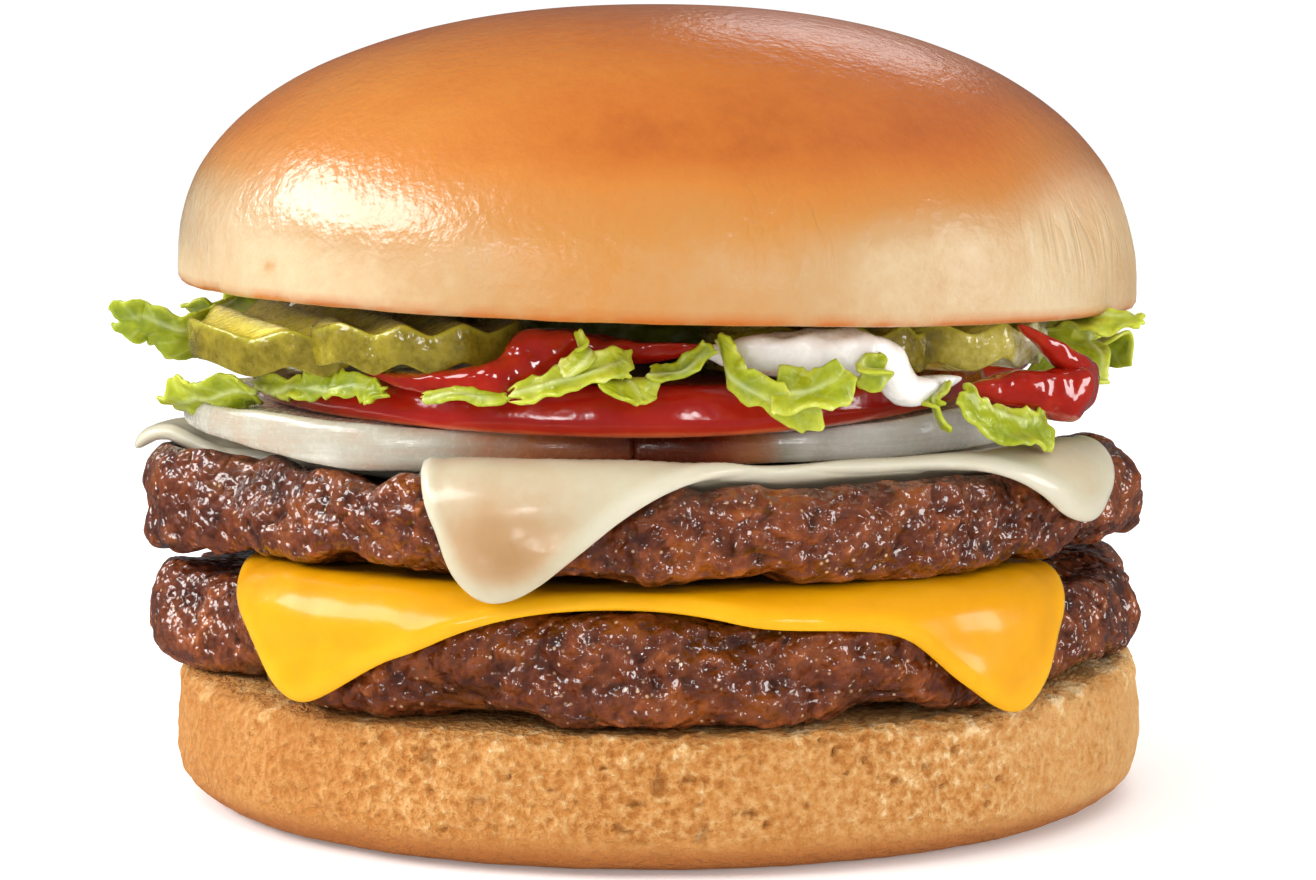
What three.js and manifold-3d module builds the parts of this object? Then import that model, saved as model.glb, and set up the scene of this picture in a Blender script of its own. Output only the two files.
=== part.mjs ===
// A double cheeseburger: a heel and a crown of bun, two craggy beef patties, a yellow and a pale cheese slice
// draped over them, parts of onion slices, tomato slices, crinkle-cut pickles, torn lettuce, ketchup and
// mayonnaise. Millimetres, +Z up. The front faces -Y, and the origin is the centre of the flat underside.
// Angles are in degrees, counterclockwise from +X seen from above, so the front is at -90.
import * as THREE from "three";
import { mergeVertices } from "three/addons/utils/BufferGeometryUtils.js";
import Module from "manifold-3d";

const wasm = await Module();
wasm.setup();

// ---------------------------------------------------------------- driving dimensions

const GAP = 0.4; // air between pieces that lie on each other
const CUT_GAP = 0.3; // air left round a piece that cuts into another
const BUN_RADIUS = 56;
const HEEL_HEIGHT = 16;
const HEEL_FOOT = 7; // rounding of the heel's lower edge
const HEEL_TILT = [0.008, 0.021]; // rise of the heel's cut face, mm for each mm along X and Y
const CROWN_BASE = 58.2;
const CROWN_TILT = [-0.028, 0.01];
const CROWN_SHIFT = -0.4; // the crown sits this far to the left
const CROWN_HEIGHT = 33;
const CROWN_WAIST = 2.2; // height of the crown's widest place above its cut face
const CROWN_POWER = 2.22; // 2 is an ellipse, more is a fuller dome
const CHEESE_THICKNESS = 2.4;

const heelTop = (x, y) => HEEL_HEIGHT + HEEL_TILT[0] * x + HEEL_TILT[1] * y;
const crownBase = (x, y) => CROWN_BASE + CROWN_TILT[0] * x + CROWN_TILT[1] * y;

// A patty's lobes are bulges of its outline: [angle, height, half width in degrees].
const LOWER_PATTY = {
  radius: 54.3,
  bottom: (x, y) => heelTop(x, y) + GAP,
  top: 27.2,
  dish: 0.3, // how far the middle of the top face lies below its rim
  seed: 11,
  lobes: [[-174, 4.6, 14], [-153, -2.6, 9], [2, 1.7, 20], [-36, -1.6, 9], [75, 1.6, 22], [130, -1.4, 14]],
};
const UPPER_PATTY = {
  radius: 54.6,
  bottom: (x) => 30.4 - (x < 0 ? 0.2 : 0.1) * Math.max(Math.abs(x) - 45, 0), // it sags beside the cheese below
  top: 40.5,
  dish: 2.4,
  seed: 29,
  lobes: [[-170, 5.2, 15], [-150, -2.2, 8], [-3, 2.0, 16], [100, 1.8, 18], [48, -1.2, 12]],
};
const PATTY_EDGE = 6.5; // how far in from the outline the rounding starts
const PATTY_POWER = 3.1; // squareness of the rounded rim
const CRAGS = [{ depth: 1.7, cell: 8 }, { depth: 1.1, cell: 4.2 }]; // coarse and fine crags of the rim
const CRAG_PROUD = 0.6; // how far the crags stand out; the cracks between them go deeper
const FACE_CRAGS = 0.3; // share of the crags on the upper and lower face
const DISH_RIM = 3; // how far in from the outline the dish of the upper face starts
const DISH_SLOPE = 5; // and how wide its slope is

// Tomato slices. Their tops are level, and their undersides rise with the onions below.
const TOMATOES = [
  { name: "tomato", x: -4.5, y: -6, radius: 42 },
  { name: "tomato_back", x: 10, y: 17, radius: 35 },
];
const TOMATO_BOTTOM = 45;
const TOMATO_THICKNESS = 5.5;
const TOMATO_CURL = [0.0009, 0.0014]; // how fast the underside rises towards the left and the right
const TOMATO_LOBES = { count: 5, share: 0.012 }; // a tomato isn't quite round

// Parts of onion slices: each is what lies between two values of x and behind one of y.
const ONIONS = [
  { name: "onion_left", x: -19.5, y: -8, radius: 35, from: -60, to: -2.9, behind: -60 },
  { name: "onion_right", x: 7, y: -6.5, radius: 34, from: -2.5, to: 60, behind: -60 },
  { name: "onion_back", x: 4, y: 19, radius: 32, from: -60, to: 60, behind: 28.8 },
];
const ONION_BOTTOM = 41.3;
const ONION_THICKNESS = 3.3;
const ONION_CURL = [0.0009, 0.0005]; // how fast a slice bends up towards the left and the right
const curl = (rates, x) => (x < 0 ? rates[0] : rates[1]) * x * x;

// Crinkle-cut pickle slices: centre, radius, tilt in degrees down towards an angle, and the way the ridges run.
const PICKLES = [
  { name: "pickle_left", at: [-36, -23.5, 54.4], radius: 15.8, tilt: 4.5, towards: -110, ridges: -65 },
  { name: "pickle_front_left", at: [-25.5, -35, 54.2], radius: 12, tilt: 0, towards: -110, ridges: -80 },
  { name: "pickle_right", at: [29.5, -23.5, 53.75], radius: 13.5, tilt: 0.5, towards: -130, ridges: -42 },
  { name: "pickle_front_right", at: [17.5, -30.5, 53.8], radius: 13, tilt: 0, towards: -60, ridges: -62 },
  { name: "pickle_back_right", at: [26, 26, 54.0], radius: 15, tilt: 1.5, towards: 45, ridges: 60 },
  { name: "pickle_back_left", at: [-24, 28, 54.5], radius: 15, tilt: 2, towards: 130, ridges: 110 },
];
const PICKLE_THICKNESS = 4.1;
const RIDGE_PITCH = 6.2;
const RIDGE_HEIGHT = 0.6;
const PICKLE_TAPER = 0.97; // the lower face of a slice is this much narrower

// Cheese slices as four corners on the plan, seen from above: front, right, back, left. A bow is the share
// by which an edge lies out between its corners. Sags are waves of the front edge: [place from -1 to 1,
// share, half width].
const YELLOW_CHEESE = {
  patty: LOWER_PATTY,
  corners: [[-46.5, -51.5], [48.5, -51.2], [43, 41], [-45, 40]],
  rounding: 16,
  frontBow: 0.055,
  leftBow: 0,
  rightBow: -0.13,
  sags: [[0.2, 0.045, 0.2], [0.58, -0.03, 0.14]],
};
const PALE_CHEESE = {
  patty: UPPER_PATTY,
  corners: [[-22, -68.5], [56.5, -37], [9, 50], [-66, -6]],
  rounding: 10,
  frontBow: -0.09,
  leftBow: -0.36,
  rightBow: 0,
  sags: [[-0.12, -0.02, 0.14], [0.14, 0.025, 0.14]],
};
const FOLD_RADIUS = 4.6; // bend of a slice over a patty's edge
const FLAP_CLEARANCE = 1; // between a hanging flap and a patty's outline
const FLARE = 0.025; // how far a flap swings out, for each mm that it hangs
const FLAP_SPREAD = 0.02; // share by which it widens, for each mm
const FLAP_REACH = 0.64; // how far round from its corner it widens, in radians

// A sauce is a thick run along a route of [x, y, z, half its depth towards the middle, half its height].
const SAUCES = [
  {
    name: "mayonnaise",
    route: [
      [7.2, -45.6, 53.9, 2.6, 2.9], [13, -45.8, 53.9, 3.4, 3.1], [18.6, -45, 54.2, 3.4, 2.8],
      [23.4, -44.2, 52.8, 3, 2.5], [26, -43.6, 50.2, 2.6, 2.6], [31, -40.2, 50.6, 1.6, 1.6],
    ],
  },
  {
    name: "ketchup_front",
    route: [
      [-30, -40.6, 51.3, 2.2, 1.4], [-23, -44.8, 50.9, 2.4, 1.9], [-16.5, -46, 51.4, 2.8, 2.6],
      [-12, -45.2, 53.6, 3.2, 3.4], [-5, -43.8, 54.3, 3.4, 2.9], [4.5, -43, 54.5, 3.2, 2.4],
    ],
  },
  {
    name: "ketchup_right",
    route: [
      [39.8, -34.2, 55.4, 1.8, 1.5], [43.4, -32, 53.0, 1.8, 1.8], [46.4, -28, 50.2, 2.0, 2.0],
      [44, -31, 48.8, 2.6, 2.4], [39, -34.8, 49.2, 2.6, 2.6], [33.6, -38.8, 49.6, 2.0, 1.6],
    ],
  },
  {
    name: "ketchup_back",
    route: [
      [-10, 37, 54.6, 2.8, 1.8], [-3, 40, 54.8, 3.8, 2.2], [4, 41, 54.4, 4.2, 2.8],
      [8, 44, 53.0, 2.8, 2.0],
    ],
  },
  {
    name: "mayonnaise_back",
    route: [
      [-38, 2, 54.6, 3.0, 1.8], [-40, 8, 54.8, 4.2, 2.4], [-42.5, 12, 53.2, 3.4, 2.8],
      [-46.5, 12, 49.6, 1.8, 1.6],
    ],
  },
];
const SAUCE_FULLNESS = 0.55; // below 1, a run of sauce keeps its girth towards its ends

// Torn lettuce leaves. Each follows a route from its root to its tip, with a width and a roll about the route
// for each end: at roll 0 it lies flat, at 90 it stands on its edge. Ruffles are waves of its two long edges. A
// forked leaf has a branch.
const LEAVES = [
  {
    name: "lettuce_left_tip",
    route: [[-45.5, -3, 52.8], [-51.5, -9, 53.0], [-57.5, -12.5, 54.2], [-63, -11, 55.8]],
    widths: [7.6, 3.6], roll: [50, 62], ruffle: 1.0, waves: 2.5, seed: 3,
  },
  {
    name: "lettuce_left_high",
    route: [[-44, 4, 55.6], [-50, -2, 56.1], [-54.6, -8, 56.8]],
    widths: [5.6, 4.4], roll: [0, 25], ruffle: 0.6, waves: 2, seed: 8,
  },
  {
    name: "lettuce_left_low",
    route: [[-43.4, -29.8, 48.2], [-48.2, -27.8, 47.7], [-51.8, -23, 46.9], [-54.8, -16, 45.2]],
    widths: [5.4, 4.6], roll: [45, 38], ruffle: 0.9, waves: 2.5, seed: 5,
  },
  {
    name: "lettuce_left_frill",
    route: [[-45.2, -23, 49.1], [-38.6, -34.6, 49.3], [-33.2, -39.8, 49.9], [-28, -43.6, 49.3]],
    widths: [2.2, 2.4], roll: [80, 75], ruffle: 0.5, waves: 3.5, seed: 12,
  },
  {
    name: "lettuce_front_frill",
    route: [[-24.8, -46.8, 49.2], [-20, -48.4, 49.7], [-15, -49.6, 49.1]],
    widths: [1.4, 1.4], roll: [60, 60], ruffle: 0.3, waves: 2, seed: 14,
  },
  {
    name: "lettuce_front_curl",
    route: [[-15.6, -50.0, 49.6], [-10, -51.2, 51.2], [-4.4, -50.6, 53.2], [-2.4, -49.6, 52.6]],
    widths: [2.4, 3.2], roll: [62, 55], ruffle: 0.3, waves: 1.5, seed: 21,
    branch: {
      route: [[-10.4, -50.8, 52.0], [-7.6, -50.8, 54.2], [-8.4, -50.0, 56.8]],
      widths: [2, 1.6], roll: [60, 60], ruffle: 0.1, waves: 1, seed: 22,
    },
  },
  {
    name: "lettuce_front_flap",
    route: [[-4.2, -47.6, 51.6], [-2.8, -50.6, 50.8], [-1.4, -51.6, 48.6]],
    widths: [5, 5], roll: [0, 15], ruffle: 0.5, waves: 1.5, seed: 23,
  },
  {
    name: "lettuce_front_stem",
    route: [[-1.4, -49.6, 52.2], [2.4, -50.2, 52.4], [6.0, -49.8, 55.6]],
    widths: [1.8, 2.2], roll: [50, 60], ruffle: 0.2, waves: 1, seed: 24,
  },
  {
    name: "lettuce_front_hook",
    route: [[6.4, -48.6, 56.4], [7.8, -49.6, 52.2], [11.6, -50.4, 49.6], [17.4, -50.2, 46.2]],
    widths: [2.2, 3.6], roll: [-70, -62], ruffle: 0.4, waves: 2, seed: 31,
  },
  {
    name: "lettuce_front_fold",
    route: [[11.4, -50.2, 50.2], [15.6, -51.2, 50.2], [20.6, -50, 51.8]],
    widths: [4.6, 3.8], roll: [55, 60], ruffle: 0.6, waves: 1.5, seed: 33,
  },
  {
    name: "lettuce_front_tuft",
    route: [[22.0, -48.4, 54.2], [22.2, -48.8, 52.0], [22.0, -48.0, 49.8]],
    widths: [2.8, 2.8], roll: [10, 10], ruffle: 0.3, waves: 1, seed: 35,
  },
  {
    name: "lettuce_right_sprig",
    route: [[30.4, -42.6, 50.8], [28.8, -44.2, 48.4], [31.0, -42.8, 44.9]],
    widths: [1.9, 2.6], roll: [20, 10], ruffle: 0.4, waves: 1.5, seed: 41,
  },
  {
    name: "lettuce_right_low",
    route: [[31.4, -43.2, 50.0], [34.2, -42.4, 47.0], [38.6, -39.2, 45.2], [43, -34, 44.8]],
    widths: [2.8, 4.6], roll: [62, 60], ruffle: 0.5, waves: 2, seed: 43,
  },
  {
    name: "lettuce_right_fan",
    route: [[43, -16.5, 54.8], [44.8, -19.5, 53.2], [46, -21, 50.8], [46.4, -22.5, 48.2]],
    widths: [10.5, 8.5], roll: [0, 0], ruffle: 0.9, waves: 2, seed: 45,
  },
  {
    name: "lettuce_right_tip",
    route: [[43.5, -23, 55.4], [48.5, -26.5, 56.0], [53.6, -27.5, 55.8]],
    widths: [4.4, 2.6], roll: [15, 30], ruffle: 0.4, waves: 2, seed: 47,
  },
  {
    name: "lettuce_right_side",
    route: [[41, -1.5, 52.4], [46.5, 1, 53.0], [50.4, 3.5, 51.4], [52.4, 5.5, 48.2]],
    widths: [15, 11], roll: [-5, 10], ruffle: 1.3, waves: 3, seed: 51,
  },
  {
    name: "lettuce_right_behind",
    route: [[42, 14, 54.6], [48, 19, 53.8], [51.5, 24, 50.8]],
    widths: [11, 11], roll: [20, 30], ruffle: 1.1, waves: 2.5, seed: 52,
  },
  {
    name: "lettuce_back_right",
    route: [[33, 42.2, 51.4], [36, 44.5, 50.6], [39, 47, 47.4]],
    widths: [13, 11], roll: [0, -8], ruffle: 1.1, waves: 2, seed: 53,
  },
  {
    name: "lettuce_back",
    route: [[12, 47, 51.8], [14.5, 51.5, 52.4], [17, 55.5, 49.8]],
    widths: [13, 12], roll: [0, 12], ruffle: 1.2, waves: 2, seed: 55,
  },
  {
    name: "lettuce_back_middle",
    route: [[-6, 40, 51.8], [-10, 47, 52.6], [-13.5, 52.5, 49.4]],
    widths: [12, 11], roll: [5, -12], ruffle: 1.2, waves: 2, seed: 56,
  },
  {
    name: "lettuce_back_left",
    route: [[-31, 42, 51.6], [-36, 45, 51.2], [-40, 46, 47.8]],
    widths: [11, 9], roll: [5, -10], ruffle: 1.1, waves: 2, seed: 57,
  },
  {
    name: "lettuce_left_behind",
    route: [[-42, 20, 54.8], [-48, 21, 55.2], [-54.5, 19, 52.4]],
    widths: [13, 10], roll: [15, 25], ruffle: 1.2, waves: 2.5, seed: 58,
  },
];
const LEAF_THICKNESS = 0.9;
const LEAF_TEAR = { share: 0.12, rate: 9 }; // how much the torn edges wander, and how fast along the leaf
const LEAF_CUP = 0.12; // how far the two edges bend up, for each mm of half width

const BED = { radius: 18, height: 6, lumps: 0.1, rumples: 0.8, cell: 8, seed: 71 };

const COLOURS = {
  crown: 0xd8883c, heel: 0xd9a860, meat: 0x4a2a1c, yellow: 0xf6b818, pale: 0xe8dcb4, onion: 0xe2ddcf,
  tomato: 0xb01e10, pickle: 0x8c8a28, lettuce: 0x8fb52c, ketchup: 0x9c1208, mayonnaise: 0xece8e0,
};

// ---------------------------------------------------------------- small tools

const radians = THREE.MathUtils.degToRad;

// The turn from one angle to another, between -half and half a turn.
const turnBetween = (from, to) => THREE.MathUtils.euclideanModulo(to - from + Math.PI, 2 * Math.PI) - Math.PI;

// A repeatable random number from 0 to 1 for a cell of a grid.
function cellValue(ix, iy, iz, seed) {
  const mixed = [[ix, 374761393], [iy, 668265263], [iz, 2246822519], [seed, 3266489917]];
  let h = mixed.reduce((sum, [value, prime]) => sum + Math.imul(value, prime), 0);
  h = Math.imul(h ^ (h >>> 13), 1274126177);
  return ((h ^ (h >>> 16)) >>> 0) / 4294967296;
}

// Smooth noise from -1 to 1 with bumps about one cell across.
function noise(x, y, z, cell, seed) {
  const p = [x / cell, y / cell, z / cell];
  const base = p.map(Math.floor);
  const share = p.map((v, i) => v - base[i]).map((v) => v * v * (3 - 2 * v));
  let sum = 0;
  for (let corner = 0; corner < 8; corner++) {
    const step = [corner & 1, (corner >> 1) & 1, corner >> 2];
    const weight = step.reduce((w, s, i) => w * (s ? share[i] : 1 - share[i]), 1);
    sum += weight * cellValue(base[0] + step[0], base[1] + step[1], base[2] + step[2], seed);
  }
  return 2 * sum - 1;
}

function solidOf(geometry) {
  const bare = geometry.clone();
  bare.deleteAttribute("normal");
  bare.deleteAttribute("uv");
  const merged = mergeVertices(bare, 1e-3);
  return new wasm.Manifold(
    new wasm.Mesh({
      numProp: 3,
      vertProperties: merged.attributes.position.array,
      triVerts: new Uint32Array(merged.index.array),
    }),
  );
}

// The triangles of the biggest piece of a mesh, as a cut can leave scraps beside it.
function mainPiece(triangles, vertexCount) {
  const parent = Array.from({ length: vertexCount }, (_, i) => i);
  const rootOf = (i) => {
    while (parent[i] !== i) i = parent[i] = parent[parent[i]];
    return i;
  };
  for (let k = 0; k < triangles.length; k += 3) {
    parent[rootOf(triangles[k + 1])] = rootOf(triangles[k]);
    parent[rootOf(triangles[k + 2])] = rootOf(triangles[k]);
  }
  const pieces = new Map();
  for (let k = 0; k < triangles.length; k += 3) {
    const root = rootOf(triangles[k]);
    if (!pieces.has(root)) pieces.set(root, []);
    pieces.get(root).push(triangles[k], triangles[k + 1], triangles[k + 2]);
  }
  return [...pieces.values()].reduce((best, piece) => (piece.length > best.length ? piece : best));
}

// Moves each vertex of a geometry to place(x, y, z).
function reshape(geometry, place) {
  const position = geometry.attributes.position;
  for (let i = 0; i < position.count; i++) {
    position.setXYZ(i, ...place(position.getX(i), position.getY(i), position.getZ(i)));
  }
  return geometry;
}

// A turned body about +Z from a profile of [radius, height] that starts and ends on the axis, bottom first.
function turned(profile, segments) {
  const points = profile.map(([r, z]) => new THREE.Vector2(r, z));
  return new THREE.LatheGeometry(points, segments).rotateX(Math.PI / 2);
}

// A closed sheet round a middle surface given for s and t from 0 to 1, grown on all sides.
function sheet(steps, rows, middle, thickness, grow) {
  const positions = [];
  const index = [];
  const columns = steps + 1;
  const layer = columns * (rows + 1);
  const d = 1e-3;
  const end = (i, last) => (i === last) - (i === 0); // -1 at the first place, 1 at the last
  for (const side of [1, -1]) {
    for (let j = 0; j <= rows; j++) {
      for (let i = 0; i <= steps; i++) {
        const [s, t] = [i / steps, j / rows];
        const along = middle(Math.min(s + d, 1), t).sub(middle(Math.max(s - d, 0), t)).normalize();
        const across = middle(s, Math.min(t + d, 1)).sub(middle(s, Math.max(t - d, 0))).normalize();
        const normal = along.clone().cross(across).normalize();
        const place = middle(s, t).addScaledVector(normal, side * (thickness / 2 + grow));
        place.addScaledVector(along, grow * end(i, steps)).addScaledVector(across, grow * end(j, rows));
        positions.push(...place);
      }
    }
  }
  const quad = (a, b, c, e) => index.push(a, b, c, a, c, e);
  for (let j = 0; j < rows; j++) {
    for (let i = 0; i < steps; i++) {
      const [a, b] = [j * columns + i, j * columns + i + 1];
      const [c, e] = [b + columns, a + columns];
      quad(a, b, c, e);
      index.push(layer + a, layer + c, layer + b, layer + a, layer + e, layer + c);
    }
  }
  const rim = [];
  for (let i = 0; i < steps; i++) rim.push(i);
  for (let j = 0; j < rows; j++) rim.push(j * columns + steps);
  for (let i = steps; i > 0; i--) rim.push(rows * columns + i);
  for (let j = rows; j > 0; j--) rim.push(j * columns);
  rim.forEach((a, k) => {
    const b = rim[(k + 1) % rim.length];
    quad(a, layer + a, layer + b, b);
  });
  return new THREE.BufferGeometry()
    .setAttribute("position", new THREE.Float32BufferAttribute(positions, 3))
    .setIndex(index);
}

// ---------------------------------------------------------------- bun

// Baked bread isn't quite round.
function outOfRound(angle, turn) {
  return 1 + 0.007 * Math.sin(2 * angle + turn) + 0.005 * Math.sin(3 * angle + 2.1 * turn);
}

// The heel: a low drum with a well-rounded foot and a crisp cut face on top.
function heelSolid(grow) {
  const R = BUN_RADIUS;
  const flat = R - HEEL_FOOT;
  const profile = [[0, 0], [R * 0.55, 0], [flat, 0]];
  for (const a of [30, 60, 90]) {
    profile.push([flat + HEEL_FOOT * Math.sin(radians(a)), HEEL_FOOT * (1 - Math.cos(radians(a)))]);
  }
  profile.push([R - 0.2, 12], [R - 0.6, 14.8], [R - 1.9, HEEL_HEIGHT], [0, HEEL_HEIGHT]);
  return solidOf(
    reshape(turned(profile, 44), (x, y, z) => {
      const k = outOfRound(Math.atan2(y, x), 1.3) * (1 + grow / R);
      return [x * k, y * k, (z / HEEL_HEIGHT) * (heelTop(x, y) + grow)];
    }),
  );
}

// The crown: a full dome over a flat cut face, drawn in a little where it meets that face.
function crownSolid(grow) {
  const R = BUN_RADIUS + grow;
  const rise = CROWN_HEIGHT - CROWN_WAIST + grow;
  const profile = [[0, 0], [R - 1.7, 0], [R - 0.4, 0.9]];
  for (const a of [0, 15, 29, 42, 54, 66, 78, 90]) {
    const r = R * Math.cos(radians(a)) ** (2 / CROWN_POWER);
    profile.push([a === 90 ? 0 : r, CROWN_WAIST + rise * Math.sin(radians(a)) ** (2 / CROWN_POWER)]);
  }
  return solidOf(
    reshape(turned(profile, 44), (x, y, z) => {
      const k = outOfRound(Math.atan2(y, x), 4.2);
      const tilt = (crownBase(x, y) - CROWN_BASE) * (1 - z / CROWN_HEIGHT); // the top stays level
      return [x * k + CROWN_SHIFT, y * k, CROWN_BASE - grow + z + tilt];
    }),
  );
}

// ---------------------------------------------------------------- patties

function pattyRadius(patty, angle) {
  return patty.lobes.reduce((radius, [at, height, width]) => {
    const away = turnBetween(radians(at), angle) / radians(width);
    return radius + height * Math.exp(-away * away);
  }, patty.radius);
}

// The height of a patty's upper face at a distance from the middle.
function pattyTop(patty, angle, r) {
  const inset = pattyRadius(patty, angle) - DISH_RIM - r;
  return patty.top - patty.dish * THREE.MathUtils.clamp(inset / DISH_SLOPE, 0, 1);
}

// A patty's rings from the middle of its underside to the middle of its top: how far each one lies out on the
// rounded edge, how high, and how far in from that edge.
const DISH_INSET = DISH_RIM + DISH_SLOPE - PATTY_EDGE;
const ROUNDING = [-90, -58, -34, -11, 11, 34, 58, 90].map(radians);
const PATTY_RINGS = [
  { out: 0, up: -1, inset: Infinity },
  { out: 0, up: -1, inset: DISH_INSET },
  ...ROUNDING.map((a) => ({ out: Math.cos(a), up: Math.sin(a), inset: 0 })),
  { out: 0, up: 1, inset: DISH_INSET },
  { out: 0, up: 1, inset: Infinity },
];

// A hand-formed disc whose rounded edge is broken into crags. It is turned with one step of height for each
// ring, and then each ring goes to its place.
function pattySolid(patty, grow) {
  const last = PATTY_RINGS.length - 1;
  const profile = PATTY_RINGS.map((ring, i) => [i === 0 || i === last ? 0 : 1, i]);
  return solidOf(
    reshape(turned(profile, 56), (x, y, step) => {
      const angle = Math.atan2(y, x);
      const { out, up, inset } = PATTY_RINGS[Math.round(step)];
      const edge = pattyRadius(patty, angle) - PATTY_EDGE;
      const r = Math.max(edge - inset, 0) + PATTY_EDGE * out ** (2 / PATTY_POWER);
      const [px, py] = [r * Math.cos(angle), r * Math.sin(angle)];
      const [floor, top] = [patty.bottom(px, py), pattyTop(patty, angle, r)];
      const height = Math.sign(up) * Math.abs(up) ** (2 / PATTY_POWER);
      const pz = (floor + top) / 2 + (height * (top - floor)) / 2;
      const crags = CRAGS.map(({ depth, cell }, i) => depth * noise(px, py, pz, cell, patty.seed + i));
      const crag = crags[0] + crags[1];
      const bite = Math.min(crag, CRAG_PROUD) * (inset > 0 ? FACE_CRAGS : 1);
      const swell = out * (bite + grow);
      const z = THREE.MathUtils.clamp(pz + bite * up, floor, top) + grow * up;
      return [px + swell * Math.cos(angle), py + swell * Math.sin(angle), z];
    }),
  );
}

// ---------------------------------------------------------------- cheese

// Where a point of a flat slice goes once the slice is laid on its patty and melted over the patty's edge. A
// flap hangs from each corner and widens about the direction of that corner.
function draped(cheese, x, y) {
  const angle = Math.atan2(y, x);
  const outside = pattyRadius(cheese.patty, angle) + FLAP_CLEARANCE + CHEESE_THICKNESS / 2;
  const start = outside - FOLD_RADIUS;
  const flat = Math.hypot(x, y);
  const lying = pattyTop(cheese.patty, angle, Math.min(flat, start)) + GAP + CHEESE_THICKNESS / 2;
  const over = flat - start;
  const arc = (FOLD_RADIUS * Math.PI) / 2;
  if (over <= 0) return new THREE.Vector3(x, y, lying);
  const bend = Math.min(over, arc) / FOLD_RADIUS;
  const hang = Math.max(over - arc, 0);
  const r = start + FOLD_RADIUS * Math.sin(bend) + FLARE * hang;
  const turns = cheese.corners.map((corner) => turnBetween(Math.atan2(corner[1], corner[0]), angle));
  const nearest = turns.reduce((best, turn) => (Math.abs(turn) < Math.abs(best) ? turn : best));
  const fade = Math.max(1 - (nearest / FLAP_REACH) ** 2, 0);
  const spread = angle + nearest * fade * FLAP_SPREAD * over;
  return new THREE.Vector3(
    r * Math.cos(spread), r * Math.sin(spread), lying - FOLD_RADIUS * (1 - Math.cos(bend)) - hang,
  );
}

function cheeseSolid(cheese, grow) {
  const { corners, rounding, frontBow, leftBow, rightBow, sags } = cheese;
  const sag = (u, [at, share, width]) => share * Math.exp(-(((u - at) / width) ** 2));
  const sagAt = (u) => sags.reduce((sum, one) => sum + sag(u, one), 0);
  const nearerEdges = (share) => Math.sign(share - 0.5) * Math.abs(2 * share - 1) ** 0.6;
  const middle = (s, t) => {
    let [u, v] = [nearerEdges(s), nearerEdges(t)];
    const reach = Math.max(Math.abs(u), Math.abs(v));
    const k = reach ? reach / (Math.abs(u) ** rounding + Math.abs(v) ** rounding) ** (1 / rounding) : 1;
    [u, v] = [u * k, v * k];
    u *= 1 + (u < 0 ? leftBow : rightBow) * (1 - v * v);
    if (v < 0) v *= 1 + frontBow * (1 - u * u) + sagAt(u);
    const weights = [(1 - u) * (1 - v), (1 + u) * (1 - v), (1 + u) * (1 + v), (1 - u) * (1 + v)];
    const [x, y] = [0, 1].map((axis) => weights.reduce((sum, w, i) => sum + (w / 4) * corners[i][axis], 0));
    return draped(cheese, x, y);
  };
  return solidOf(sheet(12, 12, middle, CHEESE_THICKNESS, grow));
}

// ---------------------------------------------------------------- vegetables

function tomatoSolid(slice, grow) {
  const [R, h] = [slice.radius + grow, TOMATO_THICKNESS + 2 * grow];
  const profile = [[0, 0], [R * 0.55, 0], [R - 1.4, 0], [R - 0.2, 0.9], [R, h * 0.55], [R - 1.3, h], [0, h]];
  return solidOf(
    reshape(turned(profile, 34), (px, py, pz) => {
      const k = 1 + TOMATO_LOBES.share * Math.cos(TOMATO_LOBES.count * Math.atan2(py, px) + 0.6);
      const [x, y] = [slice.x + px * k, slice.y + py * k];
      return [x, y, TOMATO_BOTTOM - grow + pz + curl(TOMATO_CURL, x) * (1 - pz / h)];
    }),
  );
}

// Part of an onion slice, with a rounded rim and square cut ends.
function onionSolid(onion, grow) {
  const { radius, x, y, from, to, behind } = onion;
  const [R, h] = [radius + grow, ONION_THICKNESS + 2 * grow];
  const profile = [[0, 0], [R * 0.55, 0], [R - 0.8, 0], [R, 0.9], [R - 0.9, h], [R * 0.55, h], [0, h]];
  const disc = turned(profile, 32).translate(x, y, ONION_BOTTOM - grow);
  const deep = 4 * radius;
  const kept = new THREE.BoxGeometry(to - from + 2 * grow, deep, radius)
    .translate((from + to) / 2, behind - grow + deep / 2, ONION_BOTTOM);
  return solidOf(reshape(disc, (px, py, pz) => [px, py, pz + curl(ONION_CURL, px)])).intersect(solidOf(kept));
}

// A slab with ridges on both faces, cut round.
function pickleSolid(pickle, grow) {
  const R = pickle.radius + grow;
  const half = PICKLE_THICKNESS / 2 + grow;
  const beyond = R + 2;
  const stops = Math.ceil((2 * beyond) / RIDGE_PITCH);
  const wave = [];
  for (let k = -stops; k <= stops; k++) {
    wave.push([(k * RIDGE_PITCH) / 2, k % 2 ? RIDGE_HEIGHT : -RIDGE_HEIGHT]);
  }
  const section = new THREE.Shape([
    ...wave.map(([a, z]) => new THREE.Vector2(a, z - half)),
    ...wave.reverse().map(([a, z]) => new THREE.Vector2(a, z + half)),
  ]);
  const slab = new THREE.ExtrudeGeometry(section, { depth: 2 * beyond, bevelEnabled: false, steps: 1 })
    .translate(0, 0, -beyond)
    .rotateX(Math.PI / 2);
  const round = new THREE.CylinderGeometry(R, R * PICKLE_TAPER, 2 * R, 18).rotateX(Math.PI / 2);
  const towards = radians(pickle.towards);
  const hinge = new THREE.Vector3(-Math.sin(towards), Math.cos(towards), 0);
  const place = new THREE.Matrix4()
    .makeTranslation(...pickle.at)
    .multiply(new THREE.Matrix4().makeRotationAxis(hinge, radians(pickle.tilt)))
    .multiply(new THREE.Matrix4().makeRotationZ(radians(pickle.ridges - 90)));
  return solidOf(slab.applyMatrix4(place)).intersect(solidOf(round.applyMatrix4(place)));
}

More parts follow.
